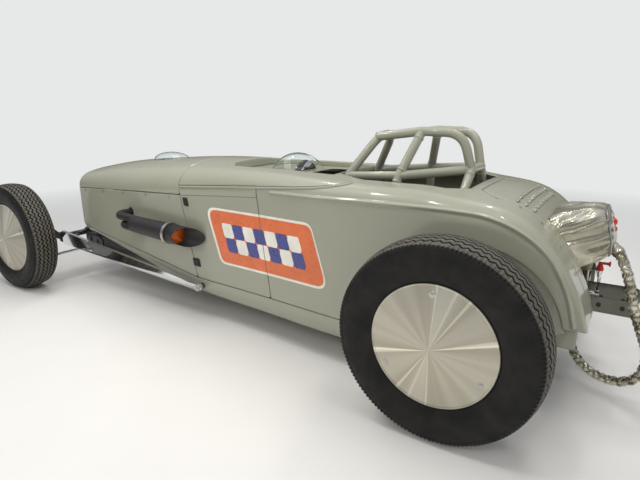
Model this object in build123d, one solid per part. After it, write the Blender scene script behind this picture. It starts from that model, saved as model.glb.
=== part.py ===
from build123d import *
import math
import os

# A dry-lakes racing car: a fenderless roadster body and belly pan over a ladder frame,
# with disc-covered wheels, a roll cage, a tail parachute and a push bar.
# Millimetres. The front is towards -X, the left side is -Y, up is +Z.
# s is the distance behind the rear axle; x_at(s) turns it into the part's own x.

# Overall layout
WHEELBASE = 3290.0
PUSH_BAR_REACH = 650.0
FRONT_TYRE_R = 396.5
REAR_TYRE_R = 415.0
REAR_AXLE_X = (WHEELBASE + FRONT_TYRE_R - PUSH_BAR_REACH) / 2
FRONT_AXLE_S = -WHEELBASE

# Wheels: 18 inch rims behind shallow spun discs
RIM_BEAD_R = 228.6
RIM_FLANGE_H = 16.0
RIM_WALL = 6.0
HUB_BORE_R = 25.0
HUB_WALL = 18.0
RUN_CLEARANCE = 0.05
DISC_R = 251.5
DISC_CONE = 33.0
DISC_SHEET = 2.5
FRONT_TYRE_W = 183.5
REAR_TYRE_W = 209.0
FRONT_RIM_W = 127.0
REAR_RIM_W = 152.4
FRONT_DISC_Y = 809.0
REAR_DISC_Y = 830.0

# Body shell
SKIN = 4.0
PANEL_GAP = 0.8
NOSE_S = -3100.0
NOSE_SEAM_S = -3030.0
NOSE_ROUND = 75.0
SEAM_1_TOP_S = -1830.0
SEAM_1_LOW_S = -1700.0
SEAM_2_TOP_S = -1160.0
SEAM_2_LOW_S = -1070.0
CREASE_Z = 262.0
PAN_REAR_S = -400.0
TAIL_S = 490.0
BELT_1_Z = 845.0
BELT_2_Z = 893.0
SPLIT_1_Z = 788.0
SPLIT_NOSE_Z = 738.0
PAN_NOSE_Z = 440.0
WHEEL_ARCH = (20.0, 365.0)
WHEEL_ARCH_R = 385.0
WHEEL_ARCH_Y = 400.0
QUARTER_END = (370.0, 437.0)
TAB_S = (378.0, 452.0)
TAB_Z = (356.0, 437.0)
TAB_Y = 447.0
REAR_OPEN_HALF = WHEEL_ARCH_Y + 2
BEAD_R = 8.0
BEAD_SINK = 2.5

# Beyond the car on every side, for cutting
ABOVE = 1200.0
BELOW = 60.0

RECESS_FLOOR_Z = 938.0
RECESS_SHEET = 4.0
CHUTE_MOUTH_HALF = 200.0
CHUTE_MOUTH_Z = (395.0, 824.0)
LID_LOW_Z = 640.0

# Louvres across the deck lid: s of each row, then the pockets in a row
LOUVRE_ROWS = (170.0, 205.0, 240.0)
LOUVRE_COUNT = 6
LOUVRE_PITCH = 72.0
LOUVRE_W = 58.0
LOUVRE_R = 11.0
LOUVRE_SLIT = 5.0

# Grille
GRILLE_W = 250.0
GRILLE_H = 300.0
GRILLE_Z = 625.0
GRILLE_BARS = 13

# Frame
RAIL_Y = 300.0
RAIL_W = 50.0
RAIL_TOP_Z = 270.0
BRACKET_Y = 328.7
BRACKET_T = 7.0

# Engine
ENGINE_S = (-2750.0, -2050.0)
ENGINE_HALF_W = 255.0
ENGINE_Z = (340.0, 860.0)

# Exhaust
EXHAUST_Y = 500.0
EXHAUST_Z = 555.0
EXHAUST_TIP_R = 61.0
EXHAUST_WALL = 3.0
EXHAUST_TILT = 2.9
CLAMP_S = -1855.0
COLLECTOR_S = -2200.0
COLLECTOR_R = 54.0
TIP_S = -1555.0
# Where the pipes leave the hood sides: (s, z)
PIPE_R = 27.0
PIPE_EXITS = [(-2377, 615), (-2335, 553)]

# Radius rods
ROD_PIVOT = (-1660.0, 215.0)
ROD_PIVOT_R = 15.0
ROD_FRONT_S = -3250.0
ROD_Y = 460.0
ROD_T = 25.0

# Parachute pack and its tether
PACK_Z = 600.0
PACK_SIDE = [(250, 600), (250, 806), (320, 838), (488, 884), (508, 820), (526, 715), (505, 665), (450, 600)]
PACK_PLAN = [(240, 178), (320, 172), (540, 122)]
PACK_ROUND = 24.0
TETHER_R = 23.0

# The tether's route: s, y, z
TETHER_ROUTE = [
    (546, -100, 692),
    (580, -127, 637),
    (606, -150, 560),
    (628, -156, 470),
    (668, -158, 375),
    (705, -150, 275),
    (700, -130, 170),
    (640, -100, 95),
    (545, -65, 75),
    (455, -35, 110),
    (400, 0, 190),
    (400, 0, 290),
]

# Push bar
PUSH_BAR_HALF = 110.0
PUSH_BAR_Z = (410.0, 480.0)
PUSH_BAR_T = 10.0

# Cage
CAGE_TUBE_R = 20.5
CAGE_BEND = 75.0

# Steering
KINGPIN_Y = 580.0
KINGPIN_R = 10.0
CASTER = 7.0
STEER_LUG = 14.0
BOSS_R = 24.0
BOSS_H = 60.0
STEER_ARM = 140.0
TIE_ROD_DROP = 150.0
TIE_ROD_R = 11.0
BALL_STUD_R = 8.0
ROD_EYE_R = 15.0
COLUMN_FOOT = (-1717.5, 0.0, 600.0)
COLUMN_TOP = (-905.0, 0.0, 730.0)
STEERING_WHEEL_R = 125.0

os.makedirs("parts", exist_ok=True)


def x_at(s):
    return REAR_AXLE_X + s


def write(shape, name):
    """One STEP file for each named piece."""
    shape.label = name
    export_step(shape, "parts/" + name + ".step")


def joined(solids):
    """Fuse a list of solids into one."""
    result = solids[0]
    for solid in solids[1:]:
        result = result + solid
    return result


def block(x_low, x_high, y_low, y_high, z_low, z_high):
    """A plain box between two corners, x measured behind the rear axle."""
    centre = ((x_low + x_high) / 2, (y_low + y_high) / 2, (z_low + z_high) / 2)
    size = (x_high - x_low, y_high - y_low, z_high - z_low)
    return Pos(x_at(centre[0]), centre[1], centre[2]) * Box(*size)


def side_prism(points, y_low, y_high, inset=0.0):
    """A prism across the car from a side-view outline of (s, z) points."""
    plane = Plane(origin=(0, 0, 0), x_dir=(1, 0, 0), z_dir=(0, -1, 0))
    face = make_face(Polyline(*[(x_at(s), z) for s, z in points], close=True))
    if inset:
        face = offset(face, amount=-inset, kind=Kind.INTERSECTION)
    return Pos(0, y_high, 0) * extrude(plane * face, amount=y_high - y_low)


def plan_prism(points, z_low, z_high):
    """A vertical prism from a plan outline of (s, y) points."""
    face = make_face(Polyline(*[(x_at(s), y) for s, y in points], close=True))
    return Pos(0, 0, z_low) * extrude(face, amount=z_high - z_low)


def tube(points, radius, bend=0.0):
    """A round bar along (s, y, z) points, each corner a tangent arc."""
    corners = [(x_at(s), y, z) for s, y, z in points]
    if len(corners) > 2:
        path = FilletPolyline(*corners, radius=bend)
    else:
        path = Line(*corners)
    return sweep(Plane(origin=path @ 0, z_dir=path % 0) * Circle(radius), path=path)


# Body cross-sections. Each is lines and tangent arcs: a flat floor, a floor corner,
# an upright side, a shoulder and a crown. Columns:
# s, half width, floor z, floor corner radius, side top z, shoulder radius, crown z
BODY_STATIONS = [
    (-3120, 347, 388, 95, 735, 105, 868),
    (-2750, 372, 330, 90, 750, 140, 928),
    (-2300, 395, 250, 85, 770, 160, 968),
    (-1830, 420, 160, 80, 800, 160, 995),
    (-1160, 460, 130, 90, 845, 120, 985),
    (-600, 510, 130, 90, 850, 100, 965),
    (0, 515, 200, 90, 840, 100, 958),
    (520, 450, 430, 60, 800, 110, 930),
]

# Side profile of the rolled tail: (s, z) points joined by one smooth arc chain
TAIL_TOP = [(-200, 985), (43, 915), (130, 890), (255, 829), (330, 761), (405, 653), (460, 535), (TAIL_S, 420)]


def body_section(station, inset):
    """One closed cross-section, drawn in a plane square to the car's length."""
    s, half, floor, r_floor, side, r_top, crown = station
    half = half - inset
    floor = floor + inset
    r_floor = r_floor - inset
    r_top = r_top - inset
    crown = crown - inset
    run = half - r_top
    rise = crown - side
    r_crown = (run**2 + rise**2 - r_top**2) / (2 * (rise - r_top))
    crown_centre = crown - r_crown
    reach = r_crown / (r_crown - r_top)
    y_join = run * reach
    z_join = crown_centre + (side - crown_centre) * reach
    turn = math.atan2(z_join - side, y_join - run) / 2
    shoulder_mid = (run + r_top * math.cos(turn), side + r_top * math.sin(turn))
    lean = math.radians(45)
    corner_mid = (half - r_floor * (1 - math.cos(lean)), floor + r_floor * (1 - math.sin(lean)))

    def edges(side_sign):
        corner = ThreePointArc(
            (side_sign * (half - r_floor), floor),
            (side_sign * corner_mid[0], corner_mid[1]),
            (side_sign * half, floor + r_floor),
        )
        upright = Line((side_sign * half, floor + r_floor), (side_sign * half, side))
        shoulder = ThreePointArc(
            (side_sign * half, side),
            (side_sign * shoulder_mid[0], shoulder_mid[1]),
            (side_sign * y_join, z_join),
        )
        return [corner, upright, shoulder]

    bottom = Line((-(half - r_floor), floor), (half - r_floor, floor))
    top = ThreePointArc((y_join, z_join), (0, crown), (-y_join, z_join))
    outline = make_face([bottom, *edges(1), top, *edges(-1)])
    plane = Plane(origin=(x_at(s), 0, 0), x_dir=(0, 1, 0), z_dir=(1, 0, 0))
    return plane * outline


def body_volume(inset):
    """The whole body as a solid, inset all round by the given wall, its nose rounded."""
    hull = loft([body_section(station, inset) for station in BODY_STATIONS])
    plane = Plane(origin=(0, 0, 0), x_dir=(1, 0, 0), z_dir=(0, -1, 0))
    top = [(x_at(s - inset * 0.6), z - inset * 0.8) for s, z in TAIL_TOP]
    roll = Spline(*top)
    floor_z = 60
    nose_x = x_at(NOSE_S + inset)
    outline = make_face(
        [
            roll,
            Polyline(top[-1], (top[-1][0], floor_z), (nose_x, floor_z), (nose_x, 1200)),
            Polyline((nose_x, 1200), (top[0][0], 1200), top[0]),
        ]
    )
    side_view = Pos(0, 700, 0) * extrude(plane * outline, amount=1400)
    volume = hull & side_view
    nose_edges = [edge for edge in volume.edges() if abs(edge.center().X - nose_x) < 1]
    return fillet(nose_edges, NOSE_ROUND - inset)


def panel(points):
    """The body skin inside a side-view outline, less half a panel gap all round."""
    return shell & side_prism(points, -700, 700, inset=PANEL_GAP / 2)


def both_rows(rows):
    """Mirror (s, half width) rows into a closed plan outline."""
    return [(s, half) for s, half in rows] + [(s, -half) for s, half in reversed(rows)]


outer = body_volume(0)
inner = body_volume(SKIN)
lining = body_volume(SKIN + 0.3)
shell = outer - inner

# Where the panels meet, in side view
seam_share = (SPLIT_1_Z - CREASE_Z) / (BELT_1_Z - CREASE_Z)
split_s = SEAM_1_LOW_S + seam_share * (SEAM_1_TOP_S - SEAM_1_LOW_S)
split_nose = (NOSE_SEAM_S, SPLIT_NOSE_Z)
split_rear = (split_s, SPLIT_1_Z)
belt_1 = (SEAM_1_TOP_S, BELT_1_Z)
belt_2 = (SEAM_2_TOP_S, BELT_2_Z)
pan_nose = (NOSE_SEAM_S, PAN_NOSE_Z)
crease_1 = (SEAM_1_LOW_S, CREASE_Z)
crease_2 = (SEAM_2_LOW_S, CREASE_Z)
crease_3 = (PAN_REAR_S, CREASE_Z)

# Plan outlines of the sunken deck and the cockpit mouth: (s, half width)
RECESS = [(-1550, 180), (-1480, 270), (-775, 275)]
SLOT = [(-1040, 135), (-1000, 150), (-775, 150)]
COCKPIT = [(-775, 215), (-640, 290), (-560, 330), (-150, 330), (-60, 250)]
DECK_LID = [(-10, 230), (60, 300), (440, 300)]

# Mouldings on each flank: (s, z) points of the belt and of the sweep round the rear wheel
BELT = [(-1815, 857), (-1500, 879), (-1160, 903), (-900, 917), (-760, 923)]
QUARTER = [
    (-1040, 866),
    (-750, 868),
    (-400, 872),
    (-86, 868),
    (121, 856),
    (209, 832),
    (305, 770),
    (373, 669),
    (412, 569),
    (431, 470),
]

# Rails in side view: (s, z) along the bottom, then back along the top
RAIL_OUTLINE = [
    (-3050, 290),
    (-2600, 240),
    (-1900, 170),
    (150, 170),
    (445, 335),
    (445, 415),
    (150, 270),
    (-1900, 270),
    (-2600, 340),
    (-3050, 362),
]


def make_nose_shell():
    """The front cap with its rounded grille mouth."""
    ahead = NOSE_S - 60
    cap = panel([(ahead, BELOW), (NOSE_SEAM_S, BELOW), (NOSE_SEAM_S, ABOVE), (ahead, ABOVE)])
    mouth = Plane(origin=(x_at(NOSE_S) - 20, 0, GRILLE_Z), x_dir=(0, 1, 0), z_dir=(1, 0, 0))
    return cap - extrude(mouth * SlotOverall(GRILLE_H, GRILLE_W, rotation=90), amount=60)


def make_grille():
    """Upright bars in a frame behind the nose mouth."""
    lip = 12
    depth = 6
    plane = Plane(origin=(x_at(NOSE_S) + SKIN, 0, GRILLE_Z), x_dir=(0, 1, 0), z_dir=(1, 0, 0))
    rim = SlotOverall(GRILLE_H + 2 * lip, GRILLE_W + 2 * lip, rotation=90)
    rim = rim - SlotOverall(GRILLE_H, GRILLE_W, rotation=90)
    solids = [extrude(plane * rim, amount=depth)]
    pitch = GRILLE_W / (GRILLE_BARS + 1)
    round_r = GRILLE_W / 2
    for index in range(GRILLE_BARS):
        y = -GRILLE_W / 2 + pitch * (index + 1)
        half = GRILLE_H / 2 - round_r + math.sqrt(round_r**2 - y**2)
        bar = Box(depth, 4, 2 * half + lip / 2)
        solids.append(Pos(x_at(NOSE_S) + SKIN + depth / 2, y, GRILLE_Z) * bar)
    return joined(solids)


def make_hood_top():
    return panel([split_nose, split_rear, belt_1, (SEAM_1_TOP_S, ABOVE), (NOSE_SEAM_S, ABOVE)])


def make_hood_sides():
    """Both hood sides, each with holes for the exhaust pipes."""
    sides = panel([pan_nose, crease_1, split_rear, split_nose])
    for s, z in PIPE_EXITS:
        hole = Pos(x_at(s), 0, z) * Rot(90, 0, 0) * Cylinder(PIPE_R + 3, 1200)
        sides = sides - hole
    return sides


def make_cowl_sides():
    return panel([crease_1, crease_2, belt_2, belt_1])


def make_belly_pan():
    """The tray under the car, cut where the rails and the rod pivots come through."""
    pan = panel([pan_nose, (NOSE_SEAM_S, BELOW), (PAN_REAR_S, BELOW), crease_3, crease_1])
    for y_sign in (-1, 1):
        rail = side_prism(RAIL_OUTLINE, -RAIL_W / 2 - 2, RAIL_W / 2 + 2, inset=-2)
        pan = pan - Pos(0, y_sign * RAIL_Y, 0) * rail
    pivot = Pos(x_at(ROD_PIVOT[0]), 0, ROD_PIVOT[1]) * Rot(90, 0, 0) * Cylinder(ROD_PIVOT_R + 2, 1200)
    return pan - pivot


def make_body_tub():
    """Quarters, cockpit sides, tail and cowl top in one skin."""
    below = [crease_3, (PAN_REAR_S, BELOW), (600, BELOW)]
    tub = panel([belt_1, belt_2, crease_2, *below, (600, ABOVE), (SEAM_1_TOP_S, ABOVE)])
    for y_sign in (-1, 1):
        arch = Pos(x_at(WHEEL_ARCH[0]), y_sign * (WHEEL_ARCH_Y + 200), WHEEL_ARCH[1]) * Rot(90, 0, 0)
        tub = tub - arch * Cylinder(WHEEL_ARCH_R, 400)
    tub = tub - plan_prism(both_rows(RECESS), 880, ABOVE)
    tub = tub - plan_prism(both_rows(COCKPIT), 800, ABOVE)
    tub = tub - plan_prism(both_rows(DECK_LID), LID_LOW_Z, ABOVE)
    low, high = CHUTE_MOUTH_Z
    tub = tub - block(200, 600, -CHUTE_MOUTH_HALF, CHUTE_MOUTH_HALF, low, high)
    tub = tub - block(PAN_REAR_S - 10, 600, -REAR_OPEN_HALF, REAR_OPEN_HALF, BELOW, 440)
    tub = tub - block(QUARTER_END[0], 600, -700, 700, BELOW, QUARTER_END[1])
    tub = tub & block(-3600, 900, -800, 800, 170, ABOVE)
    for y_sign in (-1, 1):
        for route in (BELT, QUARTER):
            tub = tub + moulding(route, y_sign)
        tab = [(TAB_S[0], TAB_Z[0]), (TAB_S[1], TAB_Z[0]), (TAB_S[1], TAB_Z[1] + 25), (TAB_S[0], TAB_Z[1] + 25)]
        tub = tub + (Pos(0, y_sign * TAB_Y, 0) * side_prism(tab, -2, 2))
    return tub


def side_y(s, z):
    """Half the body's width at s and height z, found on the outer skin."""
    probe = Pos(x_at(s), 0, z) * Rot(90, 0, 0) * Cylinder(0.5, 1400)
    return (probe & outer).bounding_box().max.Y


def moulding(route, y_sign):
    """A round bead along the flank, sunk a little into the skin and open to the inside."""
    points = [(x_at(s), y_sign * (side_y(s, z) - BEAD_SINK), z) for s, z in route]
    path = Spline(*points)
    rib = sweep(Plane(origin=path @ 0, z_dir=path % 0) * Circle(BEAD_R), path=path)
    return rib - inner


def make_deck_lid():
    """The lid behind the cockpit, notched for the parachute."""
    outline = make_face(Polyline(*[(x_at(s), y) for s, y in both_rows(DECK_LID)], close=True))
    outline = offset(outline, amount=-PANEL_GAP, kind=Kind.INTERSECTION)
    lid = shell & (Pos(0, 0, 640) * extrude(outline, amount=600))
    low, high = CHUTE_MOUTH_Z
    lid = lid - block(200, 600, -CHUTE_MOUTH_HALF, CHUTE_MOUTH_HALF, low, high)
    for s in LOUVRE_ROWS:
        for index in range(LOUVRE_COUNT):
            y = (index - (LOUVRE_COUNT - 1) / 2) * LOUVRE_PITCH
            lid = lid + louvre(s, y) - louvre_slit(s, y)
    return lid


def deck_height(s):
    """The height of the lid's skin on the centre plane at s."""
    probe = Pos(x_at(s), 0, 900) * Cylinder(0.5, 600)
    return (probe & outer).bounding_box().max.Z


def louvre(s, y):
    """A hollow half-round hood that opens to the rear, standing on the lid."""
    slope = math.degrees(math.atan2(deck_height(s - 10) - deck_height(s + 10), 20))
    place = Pos(x_at(s), y, deck_height(s)) * Rot(0, slope, 0)
    hood = Cylinder(LOUVRE_R, LOUVRE_W) - Cylinder(LOUVRE_R - 2, LOUVRE_W - 4)
    hood = hood & (Pos(0, -LOUVRE_R / 2 + 1, 0) * Box(2 * LOUVRE_R, LOUVRE_R + 2, LOUVRE_W))
    return place * Rot(-90, 0, 0) * hood


def louvre_slit(s, y):
    """The slot through the lid behind a louvre's mouth."""
    slope = math.degrees(math.atan2(deck_height(s - 10) - deck_height(s + 10), 20))
    place = Pos(x_at(s), y, deck_height(s)) * Rot(0, slope, 0)
    return place * Pos(LOUVRE_R, 0, 4) * Box(2 * LOUVRE_SLIT, LOUVRE_W - 8, 2 * LOUVRE_R)


def make_sunken_deck():
    """The tray ahead of the driver, with the slot cut through it."""
    floor = RECESS_FLOOR_Z
    tray = plan_prism([(s, y * 0.999) for s, y in both_rows(RECESS)], floor - RECESS_SHEET, ABOVE) & outer
    inside = [(RECESS[0][0] + 5, RECESS[0][1] - 3), (RECESS[1][0] + 4, RECESS[1][1] - 4), (-700, 271)]
    tray = tray - plan_prism(both_rows(inside), floor, ABOVE)
    return tray - plan_prism(both_rows(SLOT), 800, ABOVE)


def make_firewall():
    """The sheet between engine and driver."""
    sheet = lining & block(-1723, -1720, -600, 600, RAIL_TOP_Z, ABOVE)
    return sheet


def make_frame_rails():
    """Two rails with the cross tubes that hold engine, seat and axle links."""
    rail = side_prism(RAIL_OUTLINE, -RAIL_W / 2, RAIL_W / 2)
    solids = [Pos(0, -RAIL_Y, 0) * rail, Pos(0, RAIL_Y, 0) * rail]
    reach = RAIL_Y - RAIL_W / 2 + 5
    # Cross bars: s low, s high, z low, z high
    bars = [
        (-3045, -2995, 300, 354),
        (-2680, -2620, 333, ENGINE_Z[0]),
        (-2180, -2120, 260, ENGINE_Z[0]),
        (-1300, -1250, 190, 250),
        (-660, -600, 190, RAIL_TOP_Z),
        (-330, -270, 190, RAIL_TOP_Z),
        (405, 440, 345, PUSH_BAR_Z[1]),
    ]
    for s_low, s_high, z_low, z_high in bars:
        solids.append(block(s_low, s_high, -reach, reach, z_low, z_high))
    for y_sign in (-1, 1):
        y_mid = y_sign * (RAIL_Y + ROD_Y - ROD_T / 2 - 0.8) / 2
        length = ROD_Y - ROD_T / 2 - 0.8 - RAIL_Y
        spacer = Pos(x_at(ROD_PIVOT[0]), y_mid, ROD_PIVOT[1]) * Rot(90, 0, 0)
        solids.append(spacer * Cylinder(ROD_PIVOT_R, length))
    solids.append(tether_socket())
    return joined(solids)


def make_front_crossmember():
    """The spring perch under the nose and the drilled plates on the rails."""
    solids = [
        block(-3235, -3045, -45, 45, 305, 360),
        block(-3060, -3050.2, -RAIL_Y - 24, RAIL_Y + 24, 295, 362),
    ]
    perch = joined(solids)
    upper = [(-2862, 330), (-2900, 350), (-2950, 362), (-3000, 372), (-3046, 374), (-3076, 350)]
    outline = [(-3076, 262), (-2862, 262), *upper]
    # Lightening holes: s, z, radius
    holes = [(-2992, 322, 27), (-2915, 312, 21), (-3046, 300, 12)]
    for y_sign in (-1, 1):
        plate = side_prism(outline, -BRACKET_T / 2, BRACKET_T / 2)
        for s, z, r in holes:
            plate = plate - Pos(x_at(s), 0, z) * Rot(90, 0, 0) * Cylinder(r, 20)
        perch = perch + Pos(0, y_sign * BRACKET_Y, 0) * plate
    return perch


def make_front_spring():
    """A stack of curved leaves across the car, its ends on the axle's perches."""
    s_mid = -3200.0
    leaves = []
    # Leaf rows: half length, thickness
    rows = [(385, 9), (320, 9), (250, 9), (180, 9)]
    radius = 1500.0
    top = 0.0
    base = 369.0
    for half, thick in rows:
        turn = half / radius
        centre_z = base - radius - top
        arcs = []
        for r, way in ((radius, -1), (radius + thick, 1)):
            arcs.append([(r * math.sin(a), centre_z + r * math.cos(a)) for a in (-turn * way, 0, turn * way)])
        under = ThreePointArc(*arcs[0])
        upper = ThreePointArc(*arcs[1])
        face = make_face([under, Line(under @ 1, upper @ 0), upper, Line(upper @ 1, under @ 0)])
        plane = Plane(origin=(x_at(s_mid), 0, 0), x_dir=(0, 1, 0), z_dir=(1, 0, 0))
        leaf = Pos(-22, 0, 2 * top) * extrude(plane * face, amount=44)
        leaves.append(leaf)
        top = top + thick
    return joined(leaves)


def at_wheel(y_sign, y, axle_s, axle_z):
    """Place for something turned about an axle's line, its own +Z pointing outwards."""
    return Pos(x_at(axle_s), y_sign * y, axle_z) * Rot(-90 * y_sign, 0, 0)


def make_front_axle():
    """A dropped beam with a kingpin boss at each end and perches for spring and rods."""
    end_y = KINGPIN_Y - 10
    z_hub = FRONT_TYRE_R
    z_mid = 322.0
    s = FRONT_AXLE_S
    half = [(s, 430, z_mid), (s, 500, z_hub), (s, end_y, z_hub)]
    path = [(s, -y, z) for s, y, z in reversed(half)] + half
    solids = [tube(path, 23, 45)]
    for y_sign in (-1, 1):
        solids.append(block(s, ROD_FRONT_S, y_sign * 420 - 14, y_sign * 420 + 14, 285, 362))
        solids.append(block(s + 10, s + 112, y_sign * 365 - 14, y_sign * 365 + 14, 300, 319.9))
    beam = joined(solids)
    for y_sign in (-1, 1):
        place = kingpin_place(y_sign)
        beam = beam + place * Cylinder(BOSS_R, BOSS_H)
        beam = beam - place * Cylinder(KINGPIN_R + RUN_CLEARANCE, 200)
    return beam


def kingpin_place(y_sign):
    """The kingpin's own frame: Z along the leaning pin, X rearwards."""
    return Pos(x_at(FRONT_AXLE_S), y_sign * KINGPIN_Y, FRONT_TYRE_R) * Rot(0, CASTER, 0)


def make_knuckle(y_sign):
    """Fork, kingpin, stub axle and steering arm of one front wheel."""
    place = kingpin_place(y_sign)
    lug_z = BOSS_H / 2 + 0.5 + STEER_LUG / 2
    fork_y = BOSS_R + 6
    solids = []
    for z_sign in (-1, 1):
        solids.append(Pos(0, 0, z_sign * lug_z) * Cylinder(BOSS_R - 2, STEER_LUG))
        solids.append(Pos(0, y_sign * fork_y / 2, z_sign * lug_z) * Box(36, fork_y, STEER_LUG))
    height = 2 * lug_z + STEER_LUG
    solids.append(Pos(0, y_sign * (fork_y + 8), 0) * Box(60, 16, height))
    solids.append(Cylinder(KINGPIN_R, height))
    arm_z = -TIE_ROD_DROP + 14
    arm = [(0, 0, -lug_z), (45, 0, -lug_z - 8), (STEER_ARM - 35, 0, arm_z), (STEER_ARM, 0, arm_z)]
    path = FilletPolyline(*arm, radius=25)
    solids.append(sweep(Plane(origin=path @ 0, z_dir=path % 0) * Circle(9), path=path))
    solids.append(Pos(STEER_ARM, 0, -TIE_ROD_DROP + 14) * Cylinder(14, 16))
    solids.append(Pos(STEER_ARM, 0, -TIE_ROD_DROP - 4) * Cylinder(BALL_STUD_R, 36))
    knuckle = place * joined(solids)
    hub_y = KINGPIN_Y + fork_y + 12
    length = FRONT_DISC_Y - 12 - hub_y
    stub = at_wheel(y_sign, hub_y + length / 2, FRONT_AXLE_S, FRONT_TYRE_R)
    shoulder = at_wheel(y_sign, hub_y + 11, FRONT_AXLE_S, FRONT_TYRE_R)
    knuckle = knuckle + stub * Cylinder(HUB_BORE_R - RUN_CLEARANCE, length)
    return knuckle + shoulder * Cylinder(HUB_BORE_R + 8, 22)


def make_tie_rod():
    """The rod that couples both steering arms, with an eye at each end."""
    reach = KINGPIN_Y - ROD_EYE_R + 1
    bar = Rot(90, 0, 0) * Cylinder(TIE_ROD_R, 2 * reach)
    left = Pos(0, -KINGPIN_Y, 0) * (Cylinder(ROD_EYE_R, 20) - Cylinder(BALL_STUD_R + RUN_CLEARANCE, 30))
    right = Pos(0, KINGPIN_Y, 0) * (Cylinder(ROD_EYE_R, 20) - Cylinder(BALL_STUD_R + 1.5, 30))
    rod = bar + left + right
    rod = rod - Pos(0, -KINGPIN_Y, 0) * Cylinder(BALL_STUD_R + RUN_CLEARANCE, 30)
    rod = rod - Pos(0, KINGPIN_Y, 0) * Cylinder(BALL_STUD_R + 1.5, 30)
    middle = Pos(x_at(FRONT_AXLE_S), 0, FRONT_TYRE_R) * Rot(0, CASTER, 0)
    return middle * Pos(STEER_ARM, 0, -TIE_ROD_DROP - 12) * rod


def make_radius_rod(y_sign):
    """A tapered flat bar from the axle to its pivot on the rail."""
    pivot_s, pivot_z = ROD_PIVOT
    front_s, rear_s = ROD_FRONT_S + 0.3, pivot_s - 10
    outline = [(front_s, 270), (rear_s, 196), (rear_s, 234), (front_s, 377)]
    bar = side_prism(outline, -ROD_T / 2, ROD_T / 2)
    eye = Pos(x_at(pivot_s), 0, pivot_z) * Rot(90, 0, 0) * Cylinder(24, ROD_T)
    lean = math.degrees(math.asin((ROD_Y - 420) / (pivot_s - ROD_FRONT_S)))
    turn = Pos(x_at(pivot_s), y_sign * ROD_Y, 0) * Rot(0, 0, y_sign * lean) * Pos(-x_at(pivot_s), 0, 0)
    return turn * (bar + eye)


def make_rim(y_sign, rim_w, disc_y, axle_s, axle_z):
    """Rim barrel, two flanges, web and hub, revolved about the axle."""
    half = rim_w / 2
    centre = disc_y - 4 - RIM_WALL - half
    seat = RIM_BEAD_R - 0.2
    tip = RIM_BEAD_R + RIM_FLANGE_H
    barrel = [(seat, -half), (tip, -half), (tip, -half - RIM_WALL), (seat - RIM_WALL, -half - RIM_WALL)]
    barrel = barrel + [(seat - RIM_WALL, half + RIM_WALL), (tip, half + RIM_WALL), (tip, half), (seat, half)]
    hub_r = HUB_BORE_R + HUB_WALL
    hub_low = -half + 10
    hub_high = half - 12
    web = [(HUB_BORE_R, hub_low), (hub_r, hub_low), (hub_r, -5), (seat - RIM_WALL + 1, -5)]
    web = web + [(seat - RIM_WALL + 1, 5), (hub_r, 5), (hub_r, hub_high), (HUB_BORE_R, hub_high)]
    profile = make_face(Polyline(*barrel, close=True)) + make_face(Polyline(*web, close=True))
    wheel = revolve(Plane.XZ * profile, axis=Axis.Z)
    return at_wheel(y_sign, centre, axle_s, axle_z) * wheel


def make_disc(y_sign, disc_y, axle_s, axle_z):
    """The spun cover: a rolled lip and a shallow cone."""
    lip_in = DISC_R - 7
    points = [(0, DISC_CONE), (lip_in, 0), (lip_in + 1, 2), (DISC_R, 2), (DISC_R, -4)]
    points = points + [(DISC_R - 9, -4), (0, DISC_CONE - DISC_SHEET)]
    cover = revolve(Plane.XZ * make_face(Polyline(*points, close=True)), axis=Axis.Z)
    return at_wheel(y_sign, disc_y, axle_s, axle_z) * cover


def make_tyre(y_sign, tyre_r, tyre_w, rim_w, disc_y, axle_s):
    """A narrow bias tyre: bead, bulged wall, square shoulder and crowned tread."""
    half = rim_w / 2
    centre = disc_y - 4 - RIM_WALL - half
    bead = half - 0.5
    out = RIM_BEAD_R + RIM_FLANGE_H + 1
    wall_r = tyre_r - 26
    wall_y = tyre_w / 2 - 9
    tread_y = tyre_w / 2 - 24
    tread_r = tyre_r - 7

    def wall(side):
        start = (out, side * (half + 1))
        arc = ThreePointArc(start, (out + 0.5 * (wall_r - out), side * tyre_w / 2), (wall_r, side * wall_y))
        shoulder = ThreePointArc(
            (wall_r, side * wall_y),
            (tread_r - 6, side * (tread_y + 10)),
            (tread_r, side * tread_y),
        )
        return [Polyline((RIM_BEAD_R, side * bead), (out, side * bead), start), arc, shoulder]

    crown = ThreePointArc((tread_r, -tread_y), (tyre_r, 0), (tread_r, tread_y))
    bore = Line((RIM_BEAD_R, -bead), (RIM_BEAD_R, bead))
    profile = make_face([bore, crown, *wall(1), *wall(-1)])
    ring = revolve(Plane.XZ * profile, axis=Axis.Z)
    return at_wheel(y_sign, centre, axle_s, tyre_r) * ring


def make_rear_axle():
    """Housing tubes, differential and the spindles that the rear wheels turn on."""
    inner_face = REAR_DISC_Y - 4 - 2 * RIM_WALL - REAR_RIM_W
    tube_half = inner_face - 8
    place = Pos(x_at(0), 0, REAR_TYRE_R) * Rot(90, 0, 0)
    housing = place * Cylinder(38, 2 * tube_half)
    ball = Pos(x_at(0), 0, REAR_TYRE_R) * Sphere(135)
    nose = Pos(x_at(-150), 0, REAR_TYRE_R) * Rot(0, 90, 0) * Cylinder(55, 160)
    housing = housing + ball + nose
    for y_sign in (-1, 1):
        flange = Pos(0, y_sign * (tube_half - 8), 0)
        housing = housing + flange * place * Cylinder(120, 16)
        low = tube_half - 20
        high = REAR_DISC_Y - 12
        spindle = Pos(0, y_sign * (low + high) / 2, 0) * place
        housing = housing + spindle * Cylinder(HUB_BORE_R - RUN_CLEARANCE, high - low)
    return housing


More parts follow.
